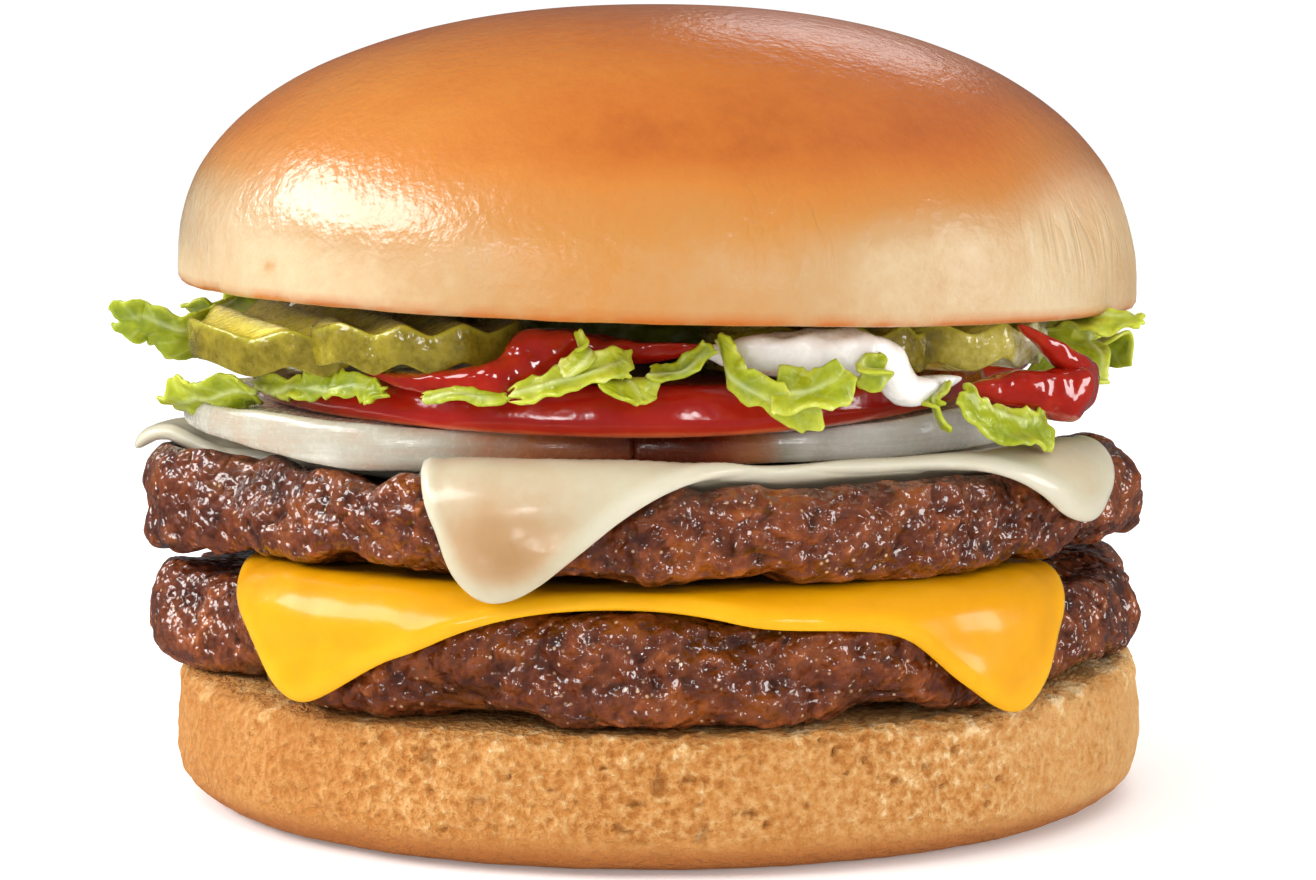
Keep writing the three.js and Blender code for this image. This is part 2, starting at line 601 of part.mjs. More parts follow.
// A ball drawn out along the sauce's route, flattened as the route says.
function sauceSolid(sauce, grow) {
  const points = sauce.route.map(([x, y, z]) => new THREE.Vector3(x, y, z));
  const girths = sauce.route.map(([, , , depth, height]) => new THREE.Vector3(depth, height, 0));
  const centres = new THREE.CatmullRomCurve3(points);
  const sizes = new THREE.CatmullRomCurve3(girths);
  const ball = new THREE.SphereGeometry(1, 8, 2 * sauce.route.length).rotateX(Math.PI / 2);
  return solidOf(
    reshape(ball, (x, y, z) => {
      const s = THREE.MathUtils.clamp(Math.acos(-z) / Math.PI, 0, 1);
      const centre = centres.getPoint(s);
      const size = sizes.getPoint(s);
      const along = centres.getTangent(s);
      const outward = new THREE.Vector3(centre.x, centre.y, 0).normalize();
      outward.addScaledVector(along, -outward.dot(along)).normalize();
      const upward = along.clone().cross(outward);
      const ring = Math.hypot(x, y);
      const fullness = ring > 1e-6 ? ring ** SAUCE_FULLNESS / ring : 0;
      centre.addScaledVector(outward, x * fullness * (size.x + grow));
      centre.addScaledVector(upward, y * fullness * (size.y + grow));
      return centre.addScaledVector(along, z * Math.abs(z) ** 6 * (size.y + grow)).toArray();
    }),
  );
}

function leafSolid(leaf, grow) {
  const { route, widths, roll, ruffle, waves, seed, branch } = leaf;
  const curve = new THREE.CatmullRomCurve3(route.map((p) => new THREE.Vector3(...p)));
  const middle = (s, t) => {
    const along = curve.getTangent(s);
    const side = along.clone().cross(new THREE.Vector3(0, 0, 1)).normalize();
    side.applyAxisAngle(along, radians(THREE.MathUtils.lerp(roll[0], roll[1], s)));
    const normal = side.clone().cross(along);
    const across = 2 * t - 1;
    const torn = 1 + LEAF_TEAR.share * Math.sin(LEAF_TEAR.rate * s + seed) * Math.sign(across);
    const fullness = 0.72 + 0.4 * Math.sin(Math.PI * (0.15 + 0.72 * s)); // slimmer at both ends
    const reach = (THREE.MathUtils.lerp(widths[0], widths[1], s) / 2) * fullness * torn;
    const ripple = ruffle * Math.sin(2 * Math.PI * waves * s + seed + across) * Math.abs(across);
    const rise = ripple + LEAF_CUP * reach * across * across;
    return curve.getPoint(s).addScaledVector(side, across * reach).addScaledVector(normal, rise);
  };
  const blade = solidOf(sheet(Math.round(3 + 2 * waves), widths[0] > 8 ? 3 : 2, middle, LEAF_THICKNESS, grow));
  return branch ? blade.add(leafSolid(branch, grow)) : blade;
}

// The crumpled heap of lettuce in the middle, between the tomato and the crown.
function bedSolid() {
  const [R, h] = [BED.radius, BED.height];
  const low = TOMATO_BOTTOM + TOMATO_THICKNESS + GAP;
  const rim = [[R * 0.94, h * 0.1], [R, h * 0.5], [R * 0.86, h * 0.9]];
  const profile = [[0, 0], [R * 0.65, 0], ...rim, [R * 0.45, h], [0, h]];
  return solidOf(
    reshape(turned(profile, 18), (x, y, z) => {
      const k = 1 + BED.lumps * noise(x, y, z, BED.cell, BED.seed);
      const rumple = z > h / 2 ? BED.rumples * noise(x, y, 0, BED.cell, BED.seed + 1) : 0;
      return [x * k, y * k, Math.min(low + z + rumple, crownBase(x, y) - GAP)];
    }),
  );
}

// ---------------------------------------------------------------- the burger

const burger = new THREE.Group();
const cutters = []; // pieces already in place, each grown by the gap that later ones keep to it

function add(name, colour, roughness, shape) {
  const solid = cutters.reduce((rest, cutter) => rest.subtract(cutter), shape(0));
  cutters.push(shape(CUT_GAP));
  const { numProp, numVert, vertProperties, triVerts } = solid.getMesh();
  const position = new Float32Array(numVert * 3);
  for (let i = 0; i < numVert; i++) position.set(vertProperties.subarray(i * numProp, i * numProp + 3), i * 3);
  const geometry = new THREE.BufferGeometry()
    .setAttribute("position", new THREE.BufferAttribute(position, 3))
    .setIndex(mainPiece(triVerts, numVert));
  geometry.computeVertexNormals();
  const material = new THREE.MeshStandardMaterial({ color: colour, roughness, metalness: 0 });
  const mesh = new THREE.Mesh(geometry, material);
  mesh.name = name;
  burger.add(mesh);
}

// Firm pieces come first, and each later piece is cut clear of those before it.
add("heel", COLOURS.heel, 0.9, heelSolid);
add("lower_patty", COLOURS.meat, 0.5, (grow) => pattySolid(LOWER_PATTY, grow));
add("upper_patty", COLOURS.meat, 0.5, (grow) => pattySolid(UPPER_PATTY, grow));
for (const onion of ONIONS) add(onion.name, COLOURS.onion, 0.3, (grow) => onionSolid(onion, grow));
for (const slice of TOMATOES) add(slice.name, COLOURS.tomato, 0.25, (grow) => tomatoSolid(slice, grow));
add("crown", COLOURS.crown, 0.4, crownSolid);
for (const pickle of PICKLES) add(pickle.name, COLOURS.pickle, 0.3, (grow) => pickleSolid(pickle, grow));
add("yellow_cheese", COLOURS.yellow, 0.3, (grow) => cheeseSolid(YELLOW_CHEESE, grow));
add("pale_cheese", COLOURS.pale, 0.35, (grow) => cheeseSolid(PALE_CHEESE, grow));
for (const sauce of SAUCES) {
  const colour = sauce.name.startsWith("ketchup") ? COLOURS.ketchup : COLOURS.mayonnaise;
  add(sauce.name, colour, 0.2, (grow) => sauceSolid(sauce, grow));
}
for (const leaf of LEAVES) add(leaf.name, COLOURS.lettuce, 0.5, (grow) => leafSolid(leaf, grow));
add("lettuce_bed", COLOURS.lettuce, 0.6, bedSolid);

export default burger;
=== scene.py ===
# The looks of a double cheeseburger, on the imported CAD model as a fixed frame. Shapes are worked out in
# millimetres in the CAD's frame (+Z up, the front faces -Y) and turned into Blender's metres at the end.
# Angles are in degrees, counterclockwise from +X seen from above, so the front is at -90.
import math

import bmesh
import bpy
import numpy as np
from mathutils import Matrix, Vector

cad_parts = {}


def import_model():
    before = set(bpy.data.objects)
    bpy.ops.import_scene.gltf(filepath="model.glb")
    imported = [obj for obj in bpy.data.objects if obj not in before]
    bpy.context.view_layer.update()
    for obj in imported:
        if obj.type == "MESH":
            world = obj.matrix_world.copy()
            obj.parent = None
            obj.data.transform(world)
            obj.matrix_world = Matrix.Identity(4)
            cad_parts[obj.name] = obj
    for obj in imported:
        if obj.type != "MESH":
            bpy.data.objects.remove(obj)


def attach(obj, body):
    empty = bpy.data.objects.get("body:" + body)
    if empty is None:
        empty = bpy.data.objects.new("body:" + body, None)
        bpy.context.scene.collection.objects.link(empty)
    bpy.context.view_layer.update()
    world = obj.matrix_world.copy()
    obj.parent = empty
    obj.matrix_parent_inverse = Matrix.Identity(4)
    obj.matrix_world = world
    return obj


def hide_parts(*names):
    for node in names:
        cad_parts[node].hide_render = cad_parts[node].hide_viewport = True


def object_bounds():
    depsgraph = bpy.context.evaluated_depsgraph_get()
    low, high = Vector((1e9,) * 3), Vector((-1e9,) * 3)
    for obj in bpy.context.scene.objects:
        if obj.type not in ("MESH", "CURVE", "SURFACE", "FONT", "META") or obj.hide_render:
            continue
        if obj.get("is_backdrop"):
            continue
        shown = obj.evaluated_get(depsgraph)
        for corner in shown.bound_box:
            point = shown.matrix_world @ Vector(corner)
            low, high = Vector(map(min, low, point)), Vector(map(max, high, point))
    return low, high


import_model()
cad_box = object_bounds()

MM = 0.001

# ---------------------------------------------------------------- dimensions shared with the CAD

BUN_RADIUS = 56
HEEL_HEIGHT = 16
HEEL_FOOT = 7
HEEL_TILT = (0.008, 0.021)
CROWN_BASE = 58.2
CROWN_TILT = (-0.028, 0.01)
CROWN_SHIFT = -0.4
CROWN_HEIGHT = 33
CROWN_WAIST = 2.2
CROWN_POWER = 2.22
GAP = 0.4

PATTY_EDGE = 6.5
PATTY_POWER = 3.1
CRAGS = ((1.7, 8), (1.1, 4.2))
CRAG_PROUD = 0.6
FACE_CRAGS = 0.3
DISH_RIM = 3
DISH_SLOPE = 5

CHEESE_THICKNESS = 2.4
FOLD_RADIUS = 4.6
FLAP_CLEARANCE = 1
FLARE = 0.025
FLAP_SPREAD = 0.02
FLAP_REACH = 0.64


def heel_top(x, y):
    return HEEL_HEIGHT + HEEL_TILT[0] * x + HEEL_TILT[1] * y


def crown_base(x, y):
    return CROWN_BASE + CROWN_TILT[0] * x + CROWN_TILT[1] * y


# Lobes are bulges of a patty's outline: (angle, height, half width in degrees). Only the looks use
# rim_height, for the steps of the rim's curve, and raised, which is how much higher they have the left rim.
LOWER_PATTY = {
    "radius": 54.3, "bottom": lambda x, y: heel_top(x, y) + GAP, "top": 27.2, "rim_height": 10.2,
    "dish": 0.3, "raised": 0, "seed": 11,
    "lobes": ((-174, 4.6, 14), (-153, -2.6, 9), (2, 1.7, 20), (-36, -1.6, 9), (75, 1.6, 22), (130, -1.4, 14)),
}
UPPER_PATTY = {
    "radius": 54.6, "bottom": lambda x, y: 30.4 - np.where(x < 0, 0.2, 0.1) * np.maximum(np.abs(x) - 45, 0),
    "top": 40.5, "rim_height": 10.5, "dish": 2.4, "raised": 1.2, "seed": 29,
    "lobes": ((-170, 5.2, 15), (-150, -2.2, 8), (-3, 2.0, 16), (100, 1.8, 18), (48, -1.2, 12)),
}

# Cheese slices as four corners on the plan: front, right, back, left. A bow is the share by which an edge
# lies out between its corners. Sags are waves of the front edge: (place from -1 to 1, share, half width).
# Only the looks use pillow, the width over which the rim is rounded, and amber, spots of
# ((x, half width), (z, half height), depth).
YELLOW_CHEESE = {
    "patty": LOWER_PATTY, "corners": ((-46.5, -51.5), (48.5, -51.2), (43, 41), (-45, 40)), "rounding": 16,
    "front_bow": 0.055, "left_bow": 0, "right_bow": -0.13,
    "sags": ((0.2, 0.045, 0.2), (0.58, -0.03, 0.14)), "pillow": 1.6, "amber": (), "seed": 81,
}
PALE_CHEESE = {
    "patty": UPPER_PATTY, "corners": ((-22, -68.5), (56.5, -37), (9, 50), (-66, -6)), "rounding": 10,
    "front_bow": -0.09, "left_bow": -0.36, "right_bow": 0,
    "sags": ((-0.12, -0.02, 0.14), (0.14, 0.025, 0.14)), "pillow": 1.4,
    "amber": (((-15.5, 7), (34, 5.5), 0.42),), "seed": 91,
}

# Tomato slices: name, centre on the plan and radius. Each has a few shallow lobes: (how many, share).
TOMATOES = (("tomato", (-4.5, -6), 42), ("tomato_back", (10, 17), 35))
TOMATO_BOTTOM = 45
TOMATO_THICKNESS = 5.5
TOMATO_CURL = (0.0009, 0.0014)
TOMATO_LOBES = (5, 0.012)

# Parts of onion slices: name, centre and radius, the two values of x that the part lies between, and the y
# that it lies behind.
ONIONS = (
    ("onion_left", (-19.5, -8), 35, (-60, -2.55), -60),
    ("onion_right", (7, -6.5), 34, (-2.5, 60), -60),
    ("onion_back", (4, 19), 32, (-60, 60), 28.8),
)
ONION_BOTTOM = 41.3
ONION_THICKNESS = 3.3
ONION_CURL = (0.0009, 0.0005)

# Pickle slices: name, centre, radius, tilt down towards an angle, that angle, and the way the ridges run.
PICKLES = (
    ("pickle_left", (-36, -23.5, 54.4), 15.8, 4.5, -110, -65),
    ("pickle_front_left", (-25.5, -35, 54.2), 12, 0, -110, -80),
    ("pickle_right", (29.5, -23.5, 53.75), 13.5, 0.5, -130, -42),
    ("pickle_front_right", (17.5, -30.5, 53.8), 13, 0, -60, -62),
    ("pickle_back_right", (26, 26, 54.0), 15, 1.5, 45, 60),
    ("pickle_back_left", (-24, 28, 54.5), 15, 2, 130, 110),
)
PICKLE_THICKNESS = 4.1
RIDGE_PITCH = 6.2
RIDGE_HEIGHT = 0.6

# Sauces as routes of (x, y, z, half the depth towards the middle, half the height).
SAUCES = {
    "mayonnaise": (
        (7.2, -45.6, 53.9, 2.6, 2.9), (13, -45.8, 53.9, 3.4, 3.1), (18.6, -45, 54.2, 3.4, 2.8),
        (23.4, -44.2, 52.8, 3, 2.5), (26, -43.6, 50.2, 2.6, 2.6), (31, -40.2, 50.6, 1.6, 1.6),
    ),
    "ketchup_front": (
        (-30, -40.6, 51.3, 2.2, 1.4), (-23, -44.8, 50.9, 2.4, 1.9), (-16.5, -46, 51.4, 2.8, 2.6),
        (-12, -45.2, 53.6, 3.2, 3.4), (-5, -43.8, 54.3, 3.4, 2.9), (4.5, -43, 54.5, 3.2, 2.4),
    ),
    "ketchup_right": (
        (39.8, -34.2, 55.4, 1.8, 1.5), (43.4, -32, 53.0, 1.8, 1.8), (46.4, -28, 50.2, 2.0, 2.0),
        (44, -31, 48.8, 2.6, 2.4), (39, -34.8, 49.2, 2.6, 2.6), (33.6, -38.8, 49.6, 2.0, 1.6),
    ),
    "ketchup_back": (
        (-10, 37, 54.6, 2.8, 1.8), (-3, 40, 54.8, 3.8, 2.2), (4, 41, 54.4, 4.2, 2.8),
        (8, 44, 53.0, 2.8, 2.0),
    ),
    "mayonnaise_back": (
        (-38, 2, 54.6, 3.0, 1.8), (-40, 8, 54.8, 4.2, 2.4), (-42.5, 12, 53.2, 3.4, 2.8),
        (-46.5, 12, 49.6, 1.8, 1.6),
    ),
}
SAUCE_FULLNESS = 0.55

# Leaves: a route from root to tip, then for each end a width and a roll (0 lies flat, 90 stands on its edge),
# the height and number of ruffles, and a seed.
BRANCH = ".branch"
LEAVES = {
    "lettuce_left_tip": (
        ((-45.5, -3, 52.8), (-51.5, -9, 53.0), (-57.5, -12.5, 54.2), (-63, -11, 55.8)),
        (7.6, 3.6), (50, 62), 1.0, 2.5, 3,
    ),
    "lettuce_left_high": (
        ((-44, 4, 55.6), (-50, -2, 56.1), (-54.6, -8, 56.8)),
        (5.6, 4.4), (0, 25), 0.6, 2, 8,
    ),
    "lettuce_left_low": (
        ((-43.4, -29.8, 48.2), (-48.2, -27.8, 47.7), (-51.8, -23, 46.9), (-54.8, -16, 45.2)),
        (5.4, 4.6), (45, 38), 0.9, 2.5, 5,
    ),
    "lettuce_left_frill": (
        ((-45.2, -23, 49.1), (-38.6, -34.6, 49.3), (-33.2, -39.8, 49.9), (-28, -43.6, 49.3)),
        (2.2, 2.4), (80, 75), 0.5, 3.5, 12,
    ),
    "lettuce_front_frill": (
        ((-24.8, -46.8, 49.2), (-20, -48.4, 49.7), (-15, -49.6, 49.1)),
        (1.4, 1.4), (60, 60), 0.3, 2, 14,
    ),
    "lettuce_front_curl": (
        ((-15.6, -50.0, 49.6), (-10, -51.2, 51.2), (-4.4, -50.6, 53.2), (-2.4, -49.6, 52.6)),
        (2.4, 3.2), (62, 55), 0.3, 1.5, 21,
    ),
    "lettuce_front_curl" + BRANCH: (
        ((-10.4, -50.8, 52.0), (-7.6, -50.8, 54.2), (-8.4, -50.0, 56.8)),
        (2, 1.6), (60, 60), 0.1, 1, 22,
    ),
    "lettuce_front_flap": (
        ((-4.2, -47.6, 51.6), (-2.8, -50.6, 50.8), (-1.4, -51.6, 48.6)),
        (5, 5), (0, 15), 0.5, 1.5, 23,
    ),
    "lettuce_front_stem": (
        ((-1.4, -49.6, 52.2), (2.4, -50.2, 52.4), (6.0, -49.8, 55.6)),
        (1.8, 2.2), (50, 60), 0.2, 1, 24,
    ),
    "lettuce_front_hook": (
        ((6.4, -48.6, 56.4), (7.8, -49.6, 52.2), (11.6, -50.4, 49.6), (17.4, -50.2, 46.2)),
        (2.2, 3.6), (-70, -62), 0.4, 2, 31,
    ),
    "lettuce_front_fold": (
        ((11.4, -50.2, 50.2), (15.6, -51.2, 50.2), (20.6, -50, 51.8)),
        (4.6, 3.8), (55, 60), 0.6, 1.5, 33,
    ),
    "lettuce_front_tuft": (
        ((22.0, -48.4, 54.2), (22.2, -48.8, 52.0), (22.0, -48.0, 49.8)),
        (2.8, 2.8), (10, 10), 0.3, 1, 35,
    ),
    "lettuce_right_sprig": (
        ((30.4, -42.6, 50.8), (28.8, -44.2, 48.4), (31.0, -42.8, 44.9)),
        (1.9, 2.6), (20, 10), 0.4, 1.5, 41,
    ),
    "lettuce_right_low": (
        ((31.4, -43.2, 50.0), (34.2, -42.4, 47.0), (38.6, -39.2, 45.2), (43, -34, 44.8)),
        (2.8, 4.6), (62, 60), 0.5, 2, 43,
    ),
    "lettuce_right_fan": (
        ((43, -16.5, 54.8), (44.8, -19.5, 53.2), (46, -21, 50.8), (46.4, -22.5, 48.2)),
        (10.5, 8.5), (0, 0), 0.9, 2, 45,
    ),
    "lettuce_right_tip": (
        ((43.5, -23, 55.4), (48.5, -26.5, 56.0), (53.6, -27.5, 55.8)),
        (4.4, 2.6), (15, 30), 0.4, 2, 47,
    ),
    "lettuce_right_side": (
        ((41, -1.5, 52.4), (46.5, 1, 53.0), (50.4, 3.5, 51.4), (52.4, 5.5, 48.2)),
        (15, 11), (-5, 10), 1.3, 3, 51,
    ),
    "lettuce_right_behind": (
        ((42, 14, 54.6), (48, 19, 53.8), (51.5, 24, 50.8)),
        (11, 11), (20, 30), 1.1, 2.5, 52,
    ),
    "lettuce_back_right": (
        ((33, 42.2, 51.4), (36, 44.5, 50.6), (39, 47, 47.4)),
        (13, 11), (0, -8), 1.1, 2, 53,
    ),
    "lettuce_back": (
        ((12, 47, 51.8), (14.5, 51.5, 52.4), (17, 55.5, 49.8)),
        (13, 12), (0, 12), 1.2, 2, 55,
    ),
    "lettuce_back_middle": (
        ((-6, 40, 51.8), (-10, 47, 52.6), (-13.5, 52.5, 49.4)),
        (12, 11), (5, -12), 1.2, 2, 56,
    ),
    "lettuce_back_left": (
        ((-31, 42, 51.6), (-36, 45, 51.2), (-40, 46, 47.8)),
        (11, 9), (5, -10), 1.1, 2, 57,
    ),
    "lettuce_left_behind": (
        ((-42, 20, 54.8), (-48, 21, 55.2), (-54.5, 19, 52.4)),
        (13, 10), (15, 25), 1.2, 2.5, 58,
    ),
}
LEAF_CUP = 0.12

BED = {"radius": 18, "height": 6, "lumps": 0.1, "rumples": 0.8, "cell": 8, "seed": 71}

# ---------------------------------------------------------------- details that only the looks have

# The heel's upper edge is rounded, and its crumb has pores: (size, seed, rarity, depth).
HEEL_SHOULDER = 2.0
HEEL_PORES = ((2.4, 5, 0.5, 0.8), (1.4, 15, 0.36, 0.7))

# The crown's lower edge is rounded. Its colours go by the height over its seam, and it has one dark spot:
# (angle, z).
CROWN_LIP = 1.1
CROWN_SEAM = 58
CROWN_SPOT = (-137, 62.5)

# Nuggets of meat: (size, height, seed). An inset of PATTY_MIDDLE from a patty's rim reaches its middle.
NUGGETS = ((2.5, 0.95, 31), (1.35, 0.55, 37))
PATTY_MIDDLE = 99

# 0 would round a pickle's ridges like a sine, and 1 would make them sharp.
RIDGE_SHARPNESS = 0.86

# How far sauces sag, and where the front ketchup sags further: (depth, x, half width).
SAUCE_SAG = 0.7
FRONT_DRIP = (1.3, 1, 7)

# The leaves are thinner than the CAD's. The floor lies just under the burger.
LEAF_THICKNESS = 0.5
FLOOR_DROP = 0.05

# How finely each shape is divided: the vertices round it, or its steps, sections or rings.
HEEL_AROUND = 780
CROWN_AROUND = 380
PATTY_AROUND = 760
TOMATO_AROUND = 340
PICKLE_AROUND = 220
BED_AROUND = 120
FLOOR_AROUND = 96
CHEESE_STEPS = 112
ONION_SECTIONS = 110
SAUCE_RINGS = 100
SAUCE_AROUND = 48

# How bright the world is as a light, in reflections and behind the burger. The lamps face AIM_HEIGHT, in
# metres like the camera's place. The camera looks CAMERA_DOWN degrees below level. Its focal length is in
# pixels of the photo, and the sensor is in millimetres.
AMBIENT = 0.35
MIRRORED = 0.12
BACKDROP = 1.05
AIM_HEIGHT = 0.05
CAMERA_AT = (0, -0.392, 0.079)
CAMERA_DOWN = 5.65
PHOTO_WIDTH = 1316
FOCAL_PIXELS = 3336
SENSOR = 36

# ---------------------------------------------------------------- noise


def cell_value(ix, iy, iz, seed):
    """A repeatable random number from 0 to 1 for a cell of a grid."""
    mixed = (ix * 374761393 + iy * 668265263 + iz * 2246822519 + seed * 3266489917) & 0xFFFFFFFF
    mixed = ((mixed ^ (mixed >> 13)) * 1274126177) & 0xFFFFFFFF
    return (mixed ^ (mixed >> 16)) / 4294967296


def noise(place, cell, seed):
    """Smooth noise from -1 to 1 with bumps about one cell across."""
    scaled = place / cell
    base = np.floor(scaled).astype(np.int64)
    share = scaled - base
    share = share * share * (3 - 2 * share)
    total = np.zeros(place.shape[:-1])
    for step in np.ndindex(2, 2, 2):
        weight = np.prod(np.where(np.array(step) == 1, share, 1 - share), axis=-1)
        total += weight * cell_value(*np.moveaxis(base + np.array(step), -1, 0), seed)
    return 2 * total - 1


def fractal(place, cell, seed, octaves=3):
    """Noise with finer and fainter noise on it, from about -1 to 1."""
    total = sum(noise(place, cell / 2**i, seed + i) / 2**i for i in range(octaves))
    return total / (2 - 2 ** (1 - octaves))


def grains(place, cell, seed):
    """The distance, in cells, to the nearest of points strewn one to a cell, and a random number that is that
    point's own."""
    scaled = place / cell
    base = np.floor(scaled).astype(np.int64)
    near = np.full(place.shape[:-1], 9.0)
    own = np.zeros(place.shape[:-1])
    for step in np.ndindex(3, 3, 3):
        corner = base + np.array(step) - 1
        index = np.moveaxis(corner, -1, 0)
        centre = corner + points(*(cell_value(*index, seed + k) for k in range(3)))
        distance = np.linalg.norm(scaled - centre, axis=-1)
        closer = distance < near
        own = np.where(closer, cell_value(*index, seed + 3), own)
        near = np.where(closer, distance, near)
    return near, own


def ease(value, low, high):
    """0 below low, 1 above high, and smooth in between."""
    share = np.clip((value - low) / (high - low), 0, 1)
    return share * share * (3 - 2 * share)


def bump_at(value, centre, width):
    """A bell curve: 1 at the centre, near 0 beyond twice the width."""
    return np.exp(-(((value - centre) / width) ** 2))


def signed_power(value, power):
    return np.sign(value) * np.abs(value) ** power


def turn_between(start, end):
    """The turn from one angle to another, between -half and half a turn."""
    return np.mod(end - start + np.pi, 2 * np.pi) - np.pi


def bump_towards(at, angle, width):
    """A bell curve round an angle in degrees. The rest is in radians."""
    return bump_at(turn_between(np.radians(at), angle), 0, width)


def curl(rates, x):
    return np.where(x < 0, rates[0], rates[1]) * x * x


# ---------------------------------------------------------------- points and meshes


def points(*axes):
    """Points from their coordinates, each of which may also be one number for all."""
    return np.stack(np.broadcast_arrays(*axes), axis=-1)


def unit(vectors):
    return vectors / np.linalg.norm(vectors, axis=-1, keepdims=True)


def around(count):
    return np.arange(count) * 2 * np.pi / count


def plan(r, angle):
    """x and y of points at distances from the middle."""
    return r * np.cos(angle), r * np.sin(angle)


def turned(profile, count):
    """Angles round the middle, and for each point of a profile of (r, z) a ring of its r and one of its z."""
    angle = around(count)
    r, z = (profile[:, k, None] + 0 * angle for k in range(2))
    return angle, r, z


def push_out(place, angle, distance):
    """Moves points away from the middle on the plan, each by its own distance."""
    place[..., 0] += distance * np.cos(angle)
    place[..., 1] += distance * np.sin(angle)


def from_both_ends(length, edge, edge_steps, steps):
    """Places from 0 to 1 along a length. They lie close together over a rounded edge at each end."""
    rounded = edge * (1 - np.cos(np.linspace(0, np.pi / 2, edge_steps + 1))) / length
    between = np.linspace(rounded[-1], 1 - rounded[-1], steps + 1)[1:-1]
    return np.concatenate([rounded, between, 1 - rounded[::-1]])


def even_steps(path, spacing):
    """Places along a dense path of points, about one spacing apart. Gives indices into the path."""
    length = np.concatenate([[0], np.cumsum(np.linalg.norm(np.diff(path, axis=0), axis=1))])
    stops = np.linspace(0, length[-1], max(int(length[-1] / spacing), 2) + 1)
    return np.searchsorted(length, stops).clip(0, len(path) - 1)


def route_length(route):
    return np.linalg.norm(np.diff(np.array(route), axis=0), axis=1).sum()


def spline(route, s):
    """Points on a centripetal Catmull-Rom curve through a route's points, for each s from 0 to 1."""
    route = np.asarray(route, dtype=float)
    padded = np.concatenate([[2 * route[0] - route[1]], route, [2 * route[-1] - route[-2]]])
    place = np.clip(s, 0, 1) * (len(route) - 1)
    start = np.minimum(place.astype(int), len(route) - 2)
    t = (place - start)[..., None]
    a, b, c, d = (padded[start + k] for k in range(4))
    ab, bc, cd = (np.linalg.norm(q - p, axis=-1, keepdims=True) ** 0.5 for p, q in ((a, b), (b, c), (c, d)))
    bc = np.where(bc < 1e-4, 1.0, bc)
    ab = np.where(ab < 1e-4, bc, ab)
    cd = np.where(cd < 1e-4, bc, cd)
    leave = ((b - a) / ab - (c - a) / (ab + bc) + (c - b) / bc) * bc
    arrive = ((c - b) / bc - (d - b) / (bc + cd) + (d - c) / cd) * bc
    return (
        b + leave * t + (3 * (c - b) - 2 * leave - arrive) * t**2 + (2 * (b - c) + leave + arrive) * t**3
    )


def tangents(route, s):
    step = 1e-4
    return unit(spline(route, np.minimum(s + step, 1)) - spline(route, np.maximum(s - step, 0)))


def closed_grid(rings):
    """A closed surface from rings of points, shaped (rings, points, 3). The end rings shrink to points."""
    count, size = rings.shape[:2]
    inner = np.arange((count - 2) * size).reshape(count - 2, size) + 1
    ahead = np.roll(inner, -1, axis=1)
    quads = points(inner[:-1], ahead[:-1], ahead[1:], inner[1:]).reshape(-1, 4).tolist()
    last = (count - 2) * size + 1
    first_fan = [(0, b, a) for a, b in zip(inner[0].tolist(), ahead[0].tolist())]
    last_fan = [(last, a, b) for a, b in zip(inner[-1].tolist(), ahead[-1].tolist())]
    return flat_rings(rings), quads + first_fan + last_fan


def flat_rings(values):
    """Values given for each point of rings, as a list in the order of closed_grid's vertices."""
    middle = values[1:-1].reshape(-1, *values.shape[2:])
    return np.concatenate([values[0].mean(axis=0)[None], middle, values[-1].mean(axis=0)[None]])


def closed_sheet(middle, half):
    """A closed sheet round a middle surface shaped (rows, columns, 3), with a half thickness that is zero on
    its rim. Also gives a function that puts values for each point in the order of the vertices."""
    normal = unit(np.cross(np.gradient(middle, axis=0), np.gradient(middle, axis=1)))
    above = middle + normal * half[..., None]
    below = middle - normal * half[..., None]
    rows, columns = half.shape
    top = np.arange(rows * columns).reshape(rows, columns)
    bottom = top.copy()
    bottom[1:-1, 1:-1] = rows * columns + np.arange((rows - 2) * (columns - 2)).reshape(rows - 2, columns - 2)

    def quads(index):
        return points(index[:-1, :-1], index[1:, :-1], index[1:, 1:], index[:-1, 1:]).reshape(-1, 4)

    def in_order(values):
        return np.concatenate([values.reshape(-1), values[1:-1, 1:-1].reshape(-1)])

    vertices = np.concatenate([above.reshape(-1, 3), below[1:-1, 1:-1].reshape(-1, 3)])
    return vertices, quads(top).tolist() + quads(bottom)[:, ::-1].tolist(), in_order


def piece(node, slot, vertices, faces, **attributes):
    """A mesh object in place of a CAD node. Attributes hold a number for each vertex."""
    name = node + "_visual"
    mesh = bpy.data.meshes.new(name)
    mesh.from_pydata((vertices * MM).tolist(), [], faces)
    shaped = bmesh.new()
    shaped.from_mesh(mesh)
    bmesh.ops.recalc_face_normals(shaped, faces=shaped.faces)
    shaped.to_mesh(mesh)
    shaped.free()
    mesh.polygons.foreach_set("use_smooth", [True] * len(mesh.polygons))
    for key, values in attributes.items():
        mesh.attributes.new(key, "FLOAT", "POINT").data.foreach_set("value", values.astype(np.float32))
    mesh.materials.append(MATERIALS[slot])
    item = bpy.data.objects.new(name, mesh)
    bpy.context.scene.collection.objects.link(item)
    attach(item, "root")
    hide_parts(node)


def ring_piece(node, slot, rings, **attributes):
    """A piece from rings of points, with a number for each point in every attribute."""
    vertices, faces = closed_grid(rings)
    piece(node, slot, vertices, faces, **{key: flat_rings(values) for key, values in attributes.items()})


# ---------------------------------------------------------------- materials


def linear(colour):
    """A colour of the screen, 0xRRGGBB, as Blender's linear values."""
    channels = [(colour >> shift & 255) / 255 for shift in (16, 8, 0)]
    return [c / 12.92 if c <= 0.04045 else ((c + 0.055) / 1.055) ** 2.4 for c in channels] + [1]


def plug(tree, socket, value):
    """Links another node's output to a socket, or sets the socket's own value."""
    if isinstance(value, bpy.types.NodeSocket):
        tree.links.new(value, socket)
    else:
        socket.default_value = value


